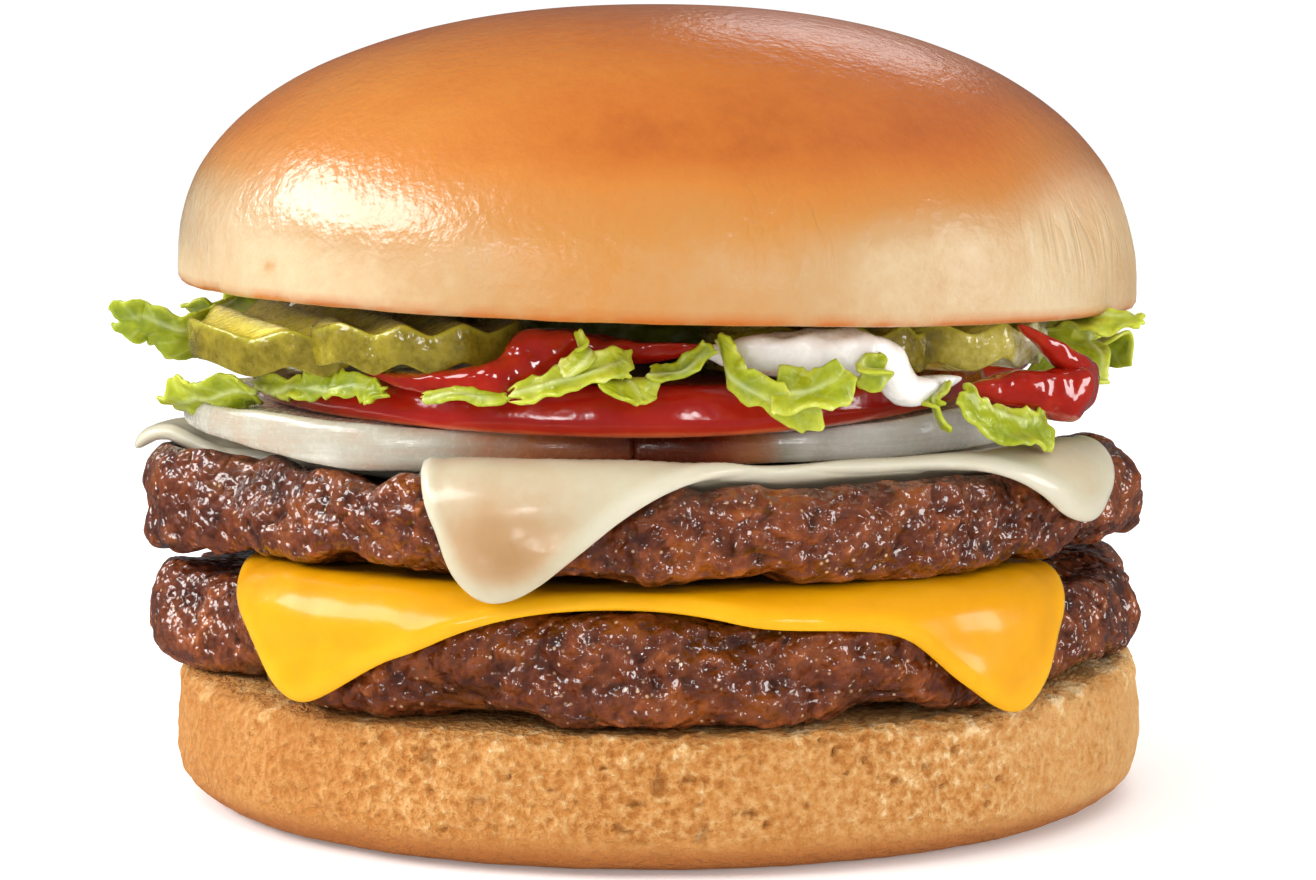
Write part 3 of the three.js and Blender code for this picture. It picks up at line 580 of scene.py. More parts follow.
class Look:
    """A procedural material. Its patterns are in millimetres, in the object's own coordinates. Wherever a
    method takes a value, the name of one of the mesh's attributes stands for that attribute."""

    def __init__(self, name):
        self.material = bpy.data.materials.new(name)
        self.material.use_nodes = True
        self.tree = self.material.node_tree
        self.shader = self.tree.nodes["Principled BSDF"]
        place = self.tree.nodes.new("ShaderNodeTexCoord").outputs["Object"]
        self.place = self.scaled(place, (1 / MM,) * 3)

    def feed(self, socket, value):
        if isinstance(value, str):
            node = self.tree.nodes.new("ShaderNodeAttribute")
            node.attribute_name = value
            value = node.outputs["Fac"]
        plug(self.tree, socket, value)

    def scaled(self, vector, factors):
        node = self.tree.nodes.new("ShaderNodeVectorMath")
        node.operation = "MULTIPLY"
        self.feed(node.inputs[0], vector)
        node.inputs[1].default_value = factors
        return node.outputs[0]

    def noise(self, size, detail=3, roughness=0.55, distortion=0, vector=None):
        node = self.tree.nodes.new("ShaderNodeTexNoise")
        self.feed(node.inputs["Vector"], vector or self.place)
        node.inputs["Scale"].default_value = 1 / size
        node.inputs["Detail"].default_value = detail
        node.inputs["Roughness"].default_value = roughness
        node.inputs["Distortion"].default_value = distortion
        return node.outputs["Fac"]

    def cells(self, size):
        """The distance to the nearest of points strewn one to a cell."""
        node = self.tree.nodes.new("ShaderNodeTexVoronoi")
        self.feed(node.inputs["Vector"], self.place)
        node.inputs["Scale"].default_value = 1 / size
        return node.outputs["Distance"]

    def math(self, operation, *values):
        node = self.tree.nodes.new("ShaderNodeMath")
        node.operation = operation
        for socket, value in zip(node.inputs, values):
            self.feed(socket, value)
        return node.outputs[0]

    def blended(self, base, *layers):
        """base plus each (value, amount), where a value of 0.5 changes nothing."""
        total = base
        for value, amount in layers:
            shifted = self.math("MULTIPLY_ADD", value, amount, -amount / 2)
            total = self.math("ADD", total, shifted)
        return total

    def ramp(self, value, *stops):
        """Stops are (place, colour), where a colour is 0xRRGGBB or a grey from 0 to 1."""
        node = self.tree.nodes.new("ShaderNodeValToRGB")
        self.feed(node.inputs["Fac"], value)
        elements = node.color_ramp.elements
        while len(elements) < len(stops):
            elements.new(0.5)
        for element, (place, colour) in zip(elements, stops):
            element.position = place
            element.color = linear(colour) if isinstance(colour, int) else (colour, colour, colour, 1)
        return node.outputs["Color"]

    def covered(self, colour, share, cover):
        """A colour with another, 0xRRGGBB or a socket, over a share of it."""
        node = self.tree.nodes.new("ShaderNodeMix")
        node.data_type = "RGBA"
        self.feed(node.inputs["Factor"], share)
        for name, value in (("A", colour), ("B", cover)):
            socket = next(s for s in node.inputs if s.name == name and s.type == "RGBA")
            self.feed(socket, linear(value) if isinstance(value, int) else value)
        return next(s for s in node.outputs if s.type == "RGBA")

    def bump(self, height, depth, normal=None):
        """Relief of a height from 0 to 1, so many millimetres deep."""
        node = self.tree.nodes.new("ShaderNodeBump")
        node.inputs["Distance"].default_value = depth * MM
        self.feed(node.inputs["Height"], height)
        if normal:
            self.feed(node.inputs["Normal"], normal)
        return node.outputs["Normal"]

    def relief(self, *layers, normal=None):
        """Noises as relief, one on another. Each is its depth and then what noise takes."""
        for depth, *grain in layers:
            normal = self.bump(self.noise(*grain), depth, normal)
        return normal

    def finish(self, colour, roughness, normal, subsurface=None, **others):
        """Wires the shader. subsurface is (weight, radius, scale), and others holds what goes into its other
        sockets, such as coat_weight."""
        others.update(base_color=colour, roughness=roughness)
        if normal:
            others.update(normal=normal, coat_normal=normal)
        if subsurface:
            others.update(zip(("subsurface_weight", "subsurface_radius", "subsurface_scale"), subsurface))
        sockets = {socket.name.lower().replace(" ", "_"): socket for socket in self.shader.inputs}
        for name, value in others.items():
            self.feed(sockets[name], value)
        return self.material


def crown_look():
    """A glazed crust: amber on top, cream towards the lower edge, finely pebbled, with upright wrinkles."""
    look = Look("crown_crust")
    fleck = look.noise(2.2, 4, 0.65)
    bake = look.blended("bake", (look.noise(16, 4), 0.34), (fleck, 0.16))
    colour = look.ramp(
        bake, (0.0, 0xC8B28E), (0.2, 0xB89264), (0.42, 0xBA7E3C), (0.66, 0xBE7428), (0.86, 0xB46218),
        (1.0, 0x9E4C0E),
    )
    colour = look.covered(colour, "warm", 0xBC6634)
    upright = look.noise(3.6, 2, 0.5, 0.6, vector=look.scaled(look.place, (1, 1, 0.22)))
    from_line = look.math("ABSOLUTE", look.math("SUBTRACT", upright, 0.5))
    wrinkle = look.math("MULTIPLY", look.ramp(from_line, (0.0, 1.0), (0.1, 0.0)), "wrinkled")
    # Painted shade in the wrinkles' creases.
    colour = look.covered(colour, look.math("MULTIPLY", wrinkle, 0.2), 0xC08A50)
    colour = look.covered(colour, "toast", 0xB85E14)
    normal = look.relief((0.12, 3.2, 2), (0.12, 1.0, 2))
    normal = look.bump(look.math("MULTIPLY", wrinkle, -1), 0.22, normal)
    return look.finish(
        colour, look.ramp(fleck, (0.3, 0.34), (0.7, 0.48)), normal,
        subsurface=(0.1, (1, 0.5, 0.25), 0.002),
        specular_ior_level=0.2, coat_weight="glaze", coat_ior=1.65, coat_roughness=0.23,
    )


def heel_look():
    """Bread crumb: dry and porous, with painted shade in its pores, browned along its lower edge."""
    look = Look("heel_bread")
    grain = look.noise(1.0, 3, 0.6)
    crumbs = look.math("MULTIPLY", look.math("SUBTRACT", grain, 0.5), "open")
    tone = look.blended("tone", (look.noise(6, 4, 0.6), 0.3), (grain, 0.3))
    tone = look.math("MULTIPLY_ADD", crumbs, 1.7, tone)
    colour = look.ramp(
        tone, (0.0, 0x985A22), (0.3, 0xB27232), (0.55, 0xC48A4A), (0.8, 0xD2A266), (1.0, 0xE4C290),
    )
    # Painted shade darkens the pores.
    colour = look.covered(look.covered(colour, "pore", 0x9A5E26), "crust", 0xAC6428)
    return look.finish(
        colour, look.ramp(grain, (0.2, 0.95), (0.8, 0.75)), look.bump(grain, 1.2),
        subsurface=(0.1, (1, 0.6, 0.3), 0.0015), specular_ior_level=0.3,
    )


def meat_look():
    """Seared ground beef, glistening all over, with pale flecks painted on as glints and with painted shade
    in its cracks.
    """
    look = Look("beef")
    tone = look.blended("tone", (look.noise(4, 4, 0.65), 0.6), (look.noise(0.8, 5, 0.7), 0.45))
    colour = look.ramp(
        tone, (0.0, 0x260C04), (0.28, 0x461909), (0.5, 0x5E2810), (0.7, 0x763818), (0.86, 0x944C20),
        (1.0, 0xB4703C),
    )
    juicy = look.ramp(look.noise(5.5, 2), (0.56, 0.0), (0.7, 0.6))
    # Painted shade in the hollows between nuggets and in the deep crags.
    colour = look.covered(look.covered(colour, juicy, 0x904A18), "crack", 0x2A1006)
    # Pale flecks painted on as glints.
    fat = look.ramp(look.cells(1.15), (0.1, 0.75), (0.22, 0.0))
    fat = look.math("MULTIPLY", fat, look.ramp(look.noise(3, 2), (0.48, 0.0), (0.6, 1.0)))
    beads = look.bump(look.math("MULTIPLY", look.cells(1.5), -1), 0.6)
    return look.finish(
        look.covered(colour, fat, 0xE2BE98), look.ramp(look.noise(1.6, 2), (0.35, 0.25), (0.65, 0.6)),
        look.relief((0.9, 1.6, 1), (0.08, 0.7, 1), normal=beads),
        subsurface=(0.05, (1, 0.4, 0.25), 0.001),
        specular_ior_level=0.25, coat_weight=0.85, coat_ior=1.7, coat_roughness=0.08,
    )


def onion_look():
    """Wet onion: white at the left, browned and glassy where it has fried, and darkened in the middle by the
    tomato's shadow painted on.
    """
    look = Look("onion")
    streaks = look.noise(1, 3, 0.6, vector=look.scaled(look.place, (0.09, 0.09, 1.1)))
    tone = look.blended("tone", (streaks, 0.2), (look.noise(4, 3), 0.2))
    colour = look.ramp(
        tone, (0.0, 0x4A1404), (0.22, 0x86381A), (0.45, 0xB4764E), (0.72, 0xB4AE9E), (1.0, 0xF2F0E8),
    )
    return look.finish(
        colour, look.ramp(look.noise(0.8, 4, 0.6), (0.3, 0.16), (0.7, 0.34)),
        look.relief((0.04, 1, 1), normal=look.bump(streaks, 0.12)),
        subsurface=(0.6, (1, 0.85, 0.7), 0.004), coat_weight=0.4, coat_roughness=0.12,
    )


def pickle_look():
    """Pickled cucumber: mottled olive skin, yellow-green flesh, wet all over."""
    look = Look("pickle")
    mottle = look.noise(2.6, 4, 0.65)
    fine = look.noise(0.7, 4, 0.65)
    skin = look.ramp(
        look.blended("tone", (mottle, 0.7), (fine, 0.35)),
        (0.0, 0x40360A), (0.3, 0x6E6012), (0.55, 0x948422), (0.8, 0xBAAC4E), (1.0, 0xE4E0C0),
    )
    flesh = look.ramp(
        look.blended("tone", (mottle, 0.45), (fine, 0.2)),
        (0.0, 0xB8AC28), (0.4, 0xDED248), (0.7, 0xEEE672), (1.0, 0xF8F4B8),
    )
    colour = look.covered(look.covered(skin, "flesh", flesh), "rim", 0xCFCB3C)
    return look.finish(
        colour, look.ramp(fine, (0.3, 0.16), (0.7, 0.4)), look.relief((0.25, 2.4, 2), (0.12, 0.8, 1)),
        subsurface=(0.3, (0.8, 1, 0.25), 0.002), specular_ior_level=0.3, coat_weight=0.8, coat_roughness=0.1,
    )


def plain_look(name, mottle, fine, stops, rough, relief, over=None, **finish):
    """A food whose colours, in stops, follow its tone. mottle and fine are noises on the tone: an amount and
    then what noise takes. rough is the range of the roughness, and over is (attribute, colour on top)."""
    look = Look(name)
    grain = look.noise(*fine[1:])
    colour = look.ramp(look.blended("tone", (look.noise(*mottle[1:]), mottle[0]), (grain, fine[0])), *stops)
    if over:
        colour = look.covered(colour, *over)
    roughness = look.ramp(grain, (0.3, rough[0]), (0.7, rough[1]))
    return look.finish(colour, roughness, look.relief(*relief), **finish)


PLAIN_LOOKS = {
    # Processed cheese, melted smooth.
    "yellow_cheese": {
        "mottle": (0.5, 9, 3), "fine": (0.08, 1.4, 4, 0.6), "rough": (0.3, 0.45),
        "stops": ((0.0, 0xB07002), (0.35, 0xCA8402), (0.65, 0xDC9A02), (1.0, 0xEAB21A)),
        "relief": ((0.25, 5, 1), (0.02, 1.2, 1)), "subsurface": (0.2, (1, 0.5, 0.08), 0.002),
        "specular_ior_level": 0.15, "coat_weight": 0.4, "coat_roughness": 0.16,
    },
    # A paler cheese, a little translucent, amber where it is thinnest.
    "pale_cheese": {
        "mottle": (0.3, 8, 3), "fine": (0.1, 1.3, 4, 0.6), "rough": (0.3, 0.45),
        "stops": ((0.0, 0x9E7444), (0.3, 0xB0906A), (0.6, 0xBEB69C), (1.0, 0xD4CFC0)),
        "relief": ((0.25, 5, 1), (0.02, 1.2, 1)), "subsurface": (0.3, (1, 0.8, 0.5), 0.003),
        "specular_ior_level": 0.25, "coat_weight": 0.6, "coat_roughness": 0.18,
    },
    # Glossy skin round wet flesh.
    "tomato": {
        "mottle": (0.35, 6, 3), "fine": (0.15, 1.1, 4, 0.6), "rough": (0.12, 0.26),
        "stops": ((0.0, 0x6E0A06), (0.4, 0x9E160C), (0.7, 0xB82612), (1.0, 0xDC6A34)),
        "relief": ((0.15, 4, 1), (0.03, 1, 1)), "subsurface": (0.06, (1, 0.25, 0.12), 0.002),
        "specular_ior_level": 0.2, "coat_weight": "skin", "coat_roughness": 0.13,
    },
    # Torn leaf: lime with darker patches and pale ribs and veins.
    "lettuce": {
        "mottle": (0.7, 3.4, 4, 0.6), "fine": (0.2, 0.7, 4, 0.6), "rough": (0.3, 0.5),
        "stops": ((0.0, 0x3E5004), (0.3, 0x6C7E0A), (0.55, 0x96A010), (0.8, 0xBCC238), (1.0, 0xE2E69A)),
        "over": ("rib", 0xE0E8B4),
        "relief": ((0.5, 2.4, 2, 0.5, 0.8),), "subsurface": (0.2, (0.8, 1, 0.2), 0.002),
        "specular_ior_level": 0.35, "coat_weight": 0.35, "coat_roughness": 0.2,
    },
    # Thick, wet tomato sauce.
    "ketchup": {
        "mottle": (0.5, 3, 3), "fine": (0.15, 0.8, 4, 0.6), "rough": (0.1, 0.2),
        "stops": ((0.0, 0x680A04), (0.45, 0x961808), (0.75, 0xB03010), (1.0, 0xC85422)),
        "relief": ((0.4, 2.4, 1),), "subsurface": (0.05, (1, 0.2, 0.1), 0.001),
        "specular_ior_level": 0.3, "coat_weight": 1.0, "coat_roughness": 0.04,
    },
    # Thick, creamy sauce.
    "mayonnaise": {
        "mottle": (0.4, 3, 3), "fine": (0.15, 0.8, 4, 0.6), "rough": (0.2, 0.34),
        "stops": ((0.0, 0xD8D0C4), (0.4, 0xEEEAE4), (1.0, 0xFAF8F4)),
        "relief": ((0.3, 2.2, 1),), "subsurface": (0.4, (1, 0.9, 0.75), 0.002),
        "coat_weight": 0.35, "coat_roughness": 0.15,
    },
}

# The material of each of the record's slots.
MATERIALS = {name: plain_look(name, **sizes) for name, sizes in PLAIN_LOOKS.items()}
MATERIALS.update(
    crown=crown_look(), heel=heel_look(), meat=meat_look(), onion=onion_look(), pickle=pickle_look(),
)


def floor_look():
    """White paper, which glows a little so that it fades into the backdrop."""
    look = Look("floor")
    colour = look.ramp(look.noise(40, 3), (0.0, 0xF6F6F6), (1.0, 0xFBFBFB))
    return look.finish(colour, 0.8, None, specular_ior_level=0.1, emission_strength=0.15)


# ---------------------------------------------------------------- bun


def out_of_round(angle, turn):
    """Baked bread isn't quite round."""
    return 1 + 0.007 * np.sin(2 * angle + turn) + 0.005 * np.sin(3 * angle + 2.1 * turn)


def heel():
    """A slab with a rounded foot and a torn upper edge. Its crumb is most open at the front."""
    bend = np.radians(np.linspace(0, 90, 200))
    foot = points(BUN_RADIUS - HEEL_FOOT + HEEL_FOOT * np.sin(bend), HEEL_FOOT * (1 - np.cos(bend)))
    wall_z = np.linspace(HEEL_FOOT, HEEL_HEIGHT - HEEL_SHOULDER, 200)[1:]
    wall = points(BUN_RADIUS - 0.5 * ease(wall_z, HEEL_FOOT, 15), wall_z)
    bend = np.radians(np.linspace(0, 90, 90))[1:]
    shoulder_r = wall[-1, 0] - HEEL_SHOULDER + HEEL_SHOULDER * np.cos(bend)
    side = np.concatenate([foot, wall, points(shoulder_r, wall_z[-1] + HEEL_SHOULDER * np.sin(bend))])
    under = [[r, 0] for r in (0, 25, 42, 47)]
    over = [[r, HEEL_HEIGHT] for r in (53.0, 52.5, 52, 51.4, 50.8, 50, 48, 40, 0)]
    angle, r, z = turned(np.concatenate([under, side[even_steps(side, 0.37)], over]), HEEL_AROUND)
    x, y = plan(r * out_of_round(angle, 1.3), angle)
    z = z / HEEL_HEIGHT * heel_top(x, y)
    skin = points(x, y, z)

    outer = ease(r, 46, 52)
    crumb = ease(z, 2.5, 5.5)
    facing = np.cos(angle - np.radians(-78))
    open_crumb = 0.3 + 0.7 * np.maximum(ease(facing, 0.72, 0.95), ease(np.sin(3 * angle + 0.7), 0.2, 0.9))
    open_crumb = np.clip(open_crumb + 0.35 * noise(skin, 9, 35), 0, 1)
    pores = np.zeros_like(z)
    for cell, seed, rare, deep in HEEL_PORES:
        pit = fractal(skin * (1, 1, 1.2), cell, seed, 2) - rare - 0.3 * (1 - open_crumb)
        pores = np.maximum(pores, deep * ease(pit, 0, 0.3))
    lumps = 0.3 * fractal(skin, 9, 41) + 0.26 * fractal(skin, 2.0, 45, 2)
    lumps += 0.16 * noise(skin, 1.1, 47) * open_crumb
    rim = heel_top(x, y)
    torn = np.minimum(fractal(skin * (1, 1, 0.6), 2.4, 51), 0.35) * ease(z, rim - 4, rim - 1)
    push_out(skin, angle, (0.4 + lumps + 1.1 * torn - (0.4 + pores * 0.9) * crumb) * outer)
    skin[..., 2] += outer * ease(z, rim - 2.5, rim - 0.4) * (0.4 * fractal(skin, 1.5, 55) - 0.12)

    tone = 0.5 + 0.12 * fractal(skin, 12, 61) + 0.12 * ease(facing, 0.9, 0.1) + 0.3 * ease(torn, 0.12, 0.34)
    # Painted light and shade: the crumb is lighter towards the right and darker towards the left.
    tone += 0.16 * ease(x, 12, 40) - 0.16 * ease(x, -14, -42)
    ring_piece(
        "heel", "heel", skin, pore=np.clip(pores * 0.8, 0, 0.5) * crumb, open=open_crumb * crumb,
        crust=0.8 * ease(z, 4.2, 1.6) * ease(r, 40, 50), tone=tone,
    )


def crown():
    """A dome on a short wall, with a small rounded lip that is nicked and toasted."""
    slope = np.radians(np.linspace(0, 90, 900))
    dome = points(
        BUN_RADIUS * np.cos(slope) ** (2 / CROWN_POWER),
        CROWN_WAIST + (CROWN_HEIGHT - CROWN_WAIST) * np.sin(slope) ** (2 / CROWN_POWER),
    )
    turn = np.radians(np.linspace(-90, 0, 60))[:-1]
    lip = points(BUN_RADIUS - CROWN_LIP + CROWN_LIP * np.cos(turn), CROWN_LIP * (1 + np.sin(turn)))
    wall = points(BUN_RADIUS, np.linspace(CROWN_LIP, CROWN_WAIST, 30)[:-1])
    side = np.concatenate([lip, wall, dome])
    side = side[even_steps(side, 0.7)]
    side[-1, 0] = 0
    under = [[r, 0] for r in (0, 20, 40, 50, 53)]
    angle, r, up = turned(np.concatenate([under, side]), CROWN_AROUND)
    x, y = plan(r * out_of_round(angle, 4.2), angle)
    z = CROWN_BASE + up + (crown_base(x, y) - CROWN_BASE) * (1 - up / CROWN_HEIGHT)
    skin = points(x + CROWN_SHIFT, y, z)

    outer = ease(r + up, 50, 54)
    swell = 0.55 * fractal(skin, 26, 101) + 0.12 * fractal(skin, 4, 105) * (0.5 + ease(z, 76, 60))
    nick = ease(up, 1.6, 0) * np.minimum(fractal(skin, 5, 111) + 0.25, 0)
    push_out(skin, angle, outer * (swell + 1.1 * nick) * np.minimum(r / 30, 1))
    skin[..., 2] += outer * (0.25 * ease(up, 3, 0) * fractal(skin, 9, 115) - 0.2) * ease(up, 4, 0)

    # bake runs from 0, cream, to 1, dark amber. It starts higher at the right and the left, where the band of
    # cream is broader, and comes down at the front.
    height = z - CROWN_SEAM
    side_on = turn_between(np.radians(-90), angle)
    start = 3.4 + 7.5 * bump_at(side_on, 1.1, 0.5) + 4.2 * bump_at(side_on, -1.15, 0.5)
    start = start + 1.6 * noise(skin, 18, 121)
    bake = 0.06 + 0.86 * ease(height, start, start + 13)
    bake += 0.3 * bump_at(side_on, -0.05, 0.42) * ease(height, 14, 4)
    # Lighter at the upper left: golden crust there, partly the painted glow round the highlight of the light
    # from the left.
    bake -= 0.24 * bump_at(side_on, -0.75, 0.6) * ease(height, 8, 14) * ease(height, 34, 24)
    spot_angle, spot_z = CROWN_SPOT
    from_spot = turn_between(np.radians(spot_angle), angle) * BUN_RADIUS
    bake += 0.25 * bump_at(from_spot, 0, 0.8) * bump_at(z, spot_z, 0.6)
    glazed_from = 6 + 5 * np.sin(side_on) + 1.5 * noise(skin, 14, 141)
    wrinkled = bump_at(height, 7.5 + 2.5 * noise(skin, 9, 135), 4.5) * ease(noise(skin, 15, 137), -0.5, 0.4)
    wrinkled *= np.maximum(ease(np.cos(side_on - 0.75), 0.7, 0.95), ease(np.cos(side_on), 0.2, -0.5))
    ring_piece(
        "crown", "crown", skin, bake=bake, wrinkled=wrinkled,
        warm=0.45 * ease(np.cos(angle - np.radians(-12)), 0.3, 1) * ease(height, 6, 16),
        toast=bump_at(up, 0.35, 0.45) * ease(fractal(skin, 3.5, 131), -0.7, 0.2) * ease(r, 50, 54),
        glaze=0.1 + 0.9 * ease(height, glazed_from, glazed_from + 6),
    )


# ---------------------------------------------------------------- patties


def patty_radius(patty, angle):
    total = patty["radius"] + 0 * angle
    for at, height, width in patty["lobes"]:
        away = turn_between(np.radians(at), angle) / np.radians(width)
        total = total + height * np.exp(-away * away)
    return total


def patty_top(patty, angle, r):
    """The height of a patty's upper face at a distance from the middle."""
    inset = patty_radius(patty, angle) - DISH_RIM - r
    return patty["top"] - patty["dish"] * np.clip(inset / DISH_SLOPE, 0, 1)


def patty(name, sizes):
    """Rings from the middle of the underside, round the rim, to the middle of the top. Crags are those of the
    CAD, and nuggets of meat and cracks between them lie on them."""
    angle = around(PATTY_AROUND)
    seed = sizes["seed"]
    edge = patty_radius(sizes, angle) - PATTY_EDGE
    tilt = np.radians(np.linspace(-90, 90, 1200))
    trial = points(
        PATTY_EDGE * np.cos(tilt) ** (2 / PATTY_POWER),
        signed_power(np.sin(tilt), 2 / PATTY_POWER) * sizes["rim_height"] / 2,
    )
    tilt = tilt[even_steps(trial, 0.4)]
    dish_inset = DISH_RIM + DISH_SLOPE - PATTY_EDGE
    inwards = np.concatenate([[dish_inset], np.arange(dish_inset + 1.2, 14, 1.2), [20, PATTY_MIDDLE]])
    inset = np.concatenate([[PATTY_MIDDLE, 20, dish_inset], 0 * tilt, inwards])[:, None] + 0 * angle
    tilt = np.concatenate([[-np.pi / 2] * 3, tilt, [np.pi / 2] * len(inwards)])
    out, up = np.cos(tilt)[:, None] + 0 * angle, np.sin(tilt)[:, None] + 0 * angle
    r = np.maximum(edge - inset, 0) + PATTY_EDGE * np.abs(out) ** (2 / PATTY_POWER)
    x, y = plan(r, angle)
    floor = sizes["bottom"](x, y)
    top = patty_top(sizes, angle, r)
    z = (floor + top) / 2 + signed_power(up, 2 / PATTY_POWER) * (top - floor) / 2
    place = points(x, y, z)
    crag = sum(depth * noise(place, cell, seed + i) for i, (depth, cell) in enumerate(CRAGS))
    bite = np.minimum(crag, CRAG_PROUD) * np.where(inset > 0, FACE_CRAGS, 1)

    warped = place + 1.3 * points(*(noise(place, 3, seed + 20 + k) for k in range(3)))
    relief = 0.7 * noise(place, 9, seed + 51) + 0.6 * fractal(place, 4.5, seed + 53)
    relief += 0.5 * bump_at(up, -0.75, 0.35)
    hollow = np.ones_like(z)
    tone = np.zeros_like(z)
    for cell, proud, offset in NUGGETS:
        near, own = grains(warped, cell, seed + offset)
        nugget = np.maximum(1 - (near / 0.85) ** 2, 0) * (0.35 + 0.65 * own)
        relief += proud * (nugget - 0.5)
        hollow *= ease(nugget, 0.45, 0.05)
        tone += (own - 0.5) * 0.26
    calm = 1 - 0.45 * bump_towards(-165, angle, 0.3)
    deep_place = ease(crag, -0.6, -2.0)
    swell = np.minimum(bite + relief * calm * ease(np.abs(out), 0.0, 0.25) * 0.8, 1.1)
    z = np.clip(z + bite * up, floor, top) + relief * calm * up * 0.35
    z += sizes["raised"] * bump_towards(-142, angle, 0.42) * ease(up, 0.3, 1) * ease(inset, 2, 0)
    # Painted light and shade: lighter where the meat is raised, darker in the deep crags and in the hollows
    # between nuggets.
    ring_piece(
        name, "meat", points(x + out * swell * np.cos(angle), y + out * swell * np.sin(angle), z),
        tone=0.52 + tone + 0.12 * ease(relief, -0.5, 0.8) - 0.3 * deep_place,
        crack=np.clip(0.75 * hollow + 0.3 * deep_place, 0, 0.8),
    )


# ---------------------------------------------------------------- cheese


def draped(cheese, x, y):
    """Where a point of a flat slice goes once the slice has melted over its patty's edge, and how far down it
    hangs."""
    angle = np.arctan2(y, x)
    outside = patty_radius(cheese["patty"], angle) + FLAP_CLEARANCE + CHEESE_THICKNESS / 2
    start = outside - FOLD_RADIUS
    flat = np.hypot(x, y)
    lying = patty_top(cheese["patty"], angle, np.minimum(flat, start)) + GAP + CHEESE_THICKNESS / 2
    over = flat - start
    arc = FOLD_RADIUS * np.pi / 2
    bend = np.clip(over, 0, arc) / FOLD_RADIUS
    hang = np.maximum(over - arc, 0)
    r = np.where(over > 0, start + FOLD_RADIUS * np.sin(bend) + FLARE * hang, flat)
    turns = np.stack([turn_between(math.atan2(cy, cx), angle) for cx, cy in cheese["corners"]])
    nearest = np.take_along_axis(turns, np.abs(turns).argmin(axis=0)[None], axis=0)[0]
    fade = np.maximum(1 - (nearest / FLAP_REACH) ** 2, 0)
    spread = angle + nearest * fade * FLAP_SPREAD * np.maximum(over, 0)
    z = lying - FOLD_RADIUS * (1 - np.cos(bend)) - hang
    return points(*plan(r, spread), z), hang


def cheese(name, sizes):
    """A square slice, u and v from -1 to 1, bowed and draped. Its rim is rounded over a width of pillow."""
    corners = np.array(sizes["corners"], dtype=float)
    side = np.linalg.norm(corners[1] - corners[0])
    pillow, power, seed = sizes["pillow"], sizes["rounding"], sizes["seed"]
    share = from_both_ends(side, pillow, 8, CHEESE_STEPS)
    u, v = np.meshgrid(2 * share - 1, 2 * share - 1, indexing="ij")
    reach = np.maximum(np.abs(u), np.abs(v))
    k = reach / np.maximum((np.abs(u) ** power + np.abs(v) ** power) ** (1 / power), 1e-9)
    rim = np.minimum(1 - np.abs(u), 1 - np.abs(v)) * side / 2
    u, v = u * k, v * k
    u = u * (1 + np.where(u < 0, sizes["left_bow"], sizes["right_bow"]) * (1 - v * v) ** 1.5)
    sag = sum(share * bump_at(u, at, width) for at, share, width in sizes["sags"])
    v = v * np.where(v < 0, 1 + sizes["front_bow"] * (1 - u * u) + sag, 1)
    weights = [(1 - u) * (1 - v), (1 + u) * (1 - v), (1 + u) * (1 + v), (1 - u) * (1 + v)]
    x, y = (sum(w / 4 * corner[axis] for w, corner in zip(weights, corners)) for axis in range(2))
    middle, hang = draped(sizes, x, y)
    thickness = CHEESE_THICKNESS * (0.66 + 0.34 * ease(rim, 1, 7))
    thickness *= 1 + 0.12 * fractal(middle, 11, seed) + 0.14 * bump_at(rim, 1.4, 0.9)
    half = thickness / 2 * np.sqrt(np.maximum(1 - (1 - np.clip(rim / pillow, 0, 1)) ** 2, 0))
    radial = middle * (1, 1, 0) / np.maximum(np.linalg.norm(middle[..., :2], axis=-1), 1)[..., None]
    melted = 1.1 * (fractal(middle, 9, seed + 5, 2) + 0.3) * ease(hang, 0, 5)
    middle = middle + radial * melted[..., None]
    middle[..., 2] -= 0.9 * noise(middle, 10, seed + 9) * ease(rim, 6, 0) * ease(hang, 0, 3)
    tone = 0.55 + 0.22 * ease(rim, 2.4, 0.6) - 0.12 * ease(rim, 4, 16) * ease(hang, 0, 4)
    for (amber_x, width), (amber_z, height), depth in sizes["amber"]:
        tone -= depth * bump_at(middle[..., 0], amber_x, width) * bump_at(middle[..., 2], amber_z, height)
    vertices, faces, in_order = closed_sheet(middle, half)
    piece(name, name, vertices, faces, tone=in_order(tone))


# ---------------------------------------------------------------- vegetables


def tomato(name, centre, radius):
    """A thick round slice with a bulging skin. It curls up towards its edges."""
    turn = np.radians(np.linspace(-90, 90, 300))
    up = TOMATO_THICKNESS / 2 * (1 + signed_power(np.sin(turn), 0.75))
    bulge = points(radius - 2.2 + 2.2 * np.cos(turn) ** 0.7 - 0.22 * np.maximum(up - 1.6, 0), up)
    inner = np.array([0, 0.4, 0.7, 0.88]) * radius
    profile = [points(inner, 0), bulge[even_steps(bulge, 0.42)], points(inner[::-1], TOMATO_THICKNESS)]
    angle, r, up = turned(np.concatenate(profile), TOMATO_AROUND)
    count, share = TOMATO_LOBES
    k = 1 + share * np.cos(count * angle + 0.6)
    x, y = centre[0] + r * k * np.cos(angle), centre[1] + r * k * np.sin(angle)
    place = points(x, y, TOMATO_BOTTOM + up + curl(TOMATO_CURL, x) * (1 - up / TOMATO_THICKNESS))
    outer = ease(r, radius - 6, radius - 1)
    push_out(place, angle, outer * (0.4 * fractal(place, 12, 201) + 0.1 * fractal(place, 3, 205)))
    ring_piece(
        name, "tomato", place, tone=0.4 + 0.5 * bump_at(up, 0.3, 0.5) * outer + 0.12 * fractal(place, 9, 211),
        skin=0.15 + 0.85 * ease(r, radius - 4, radius - 2.5),
    )


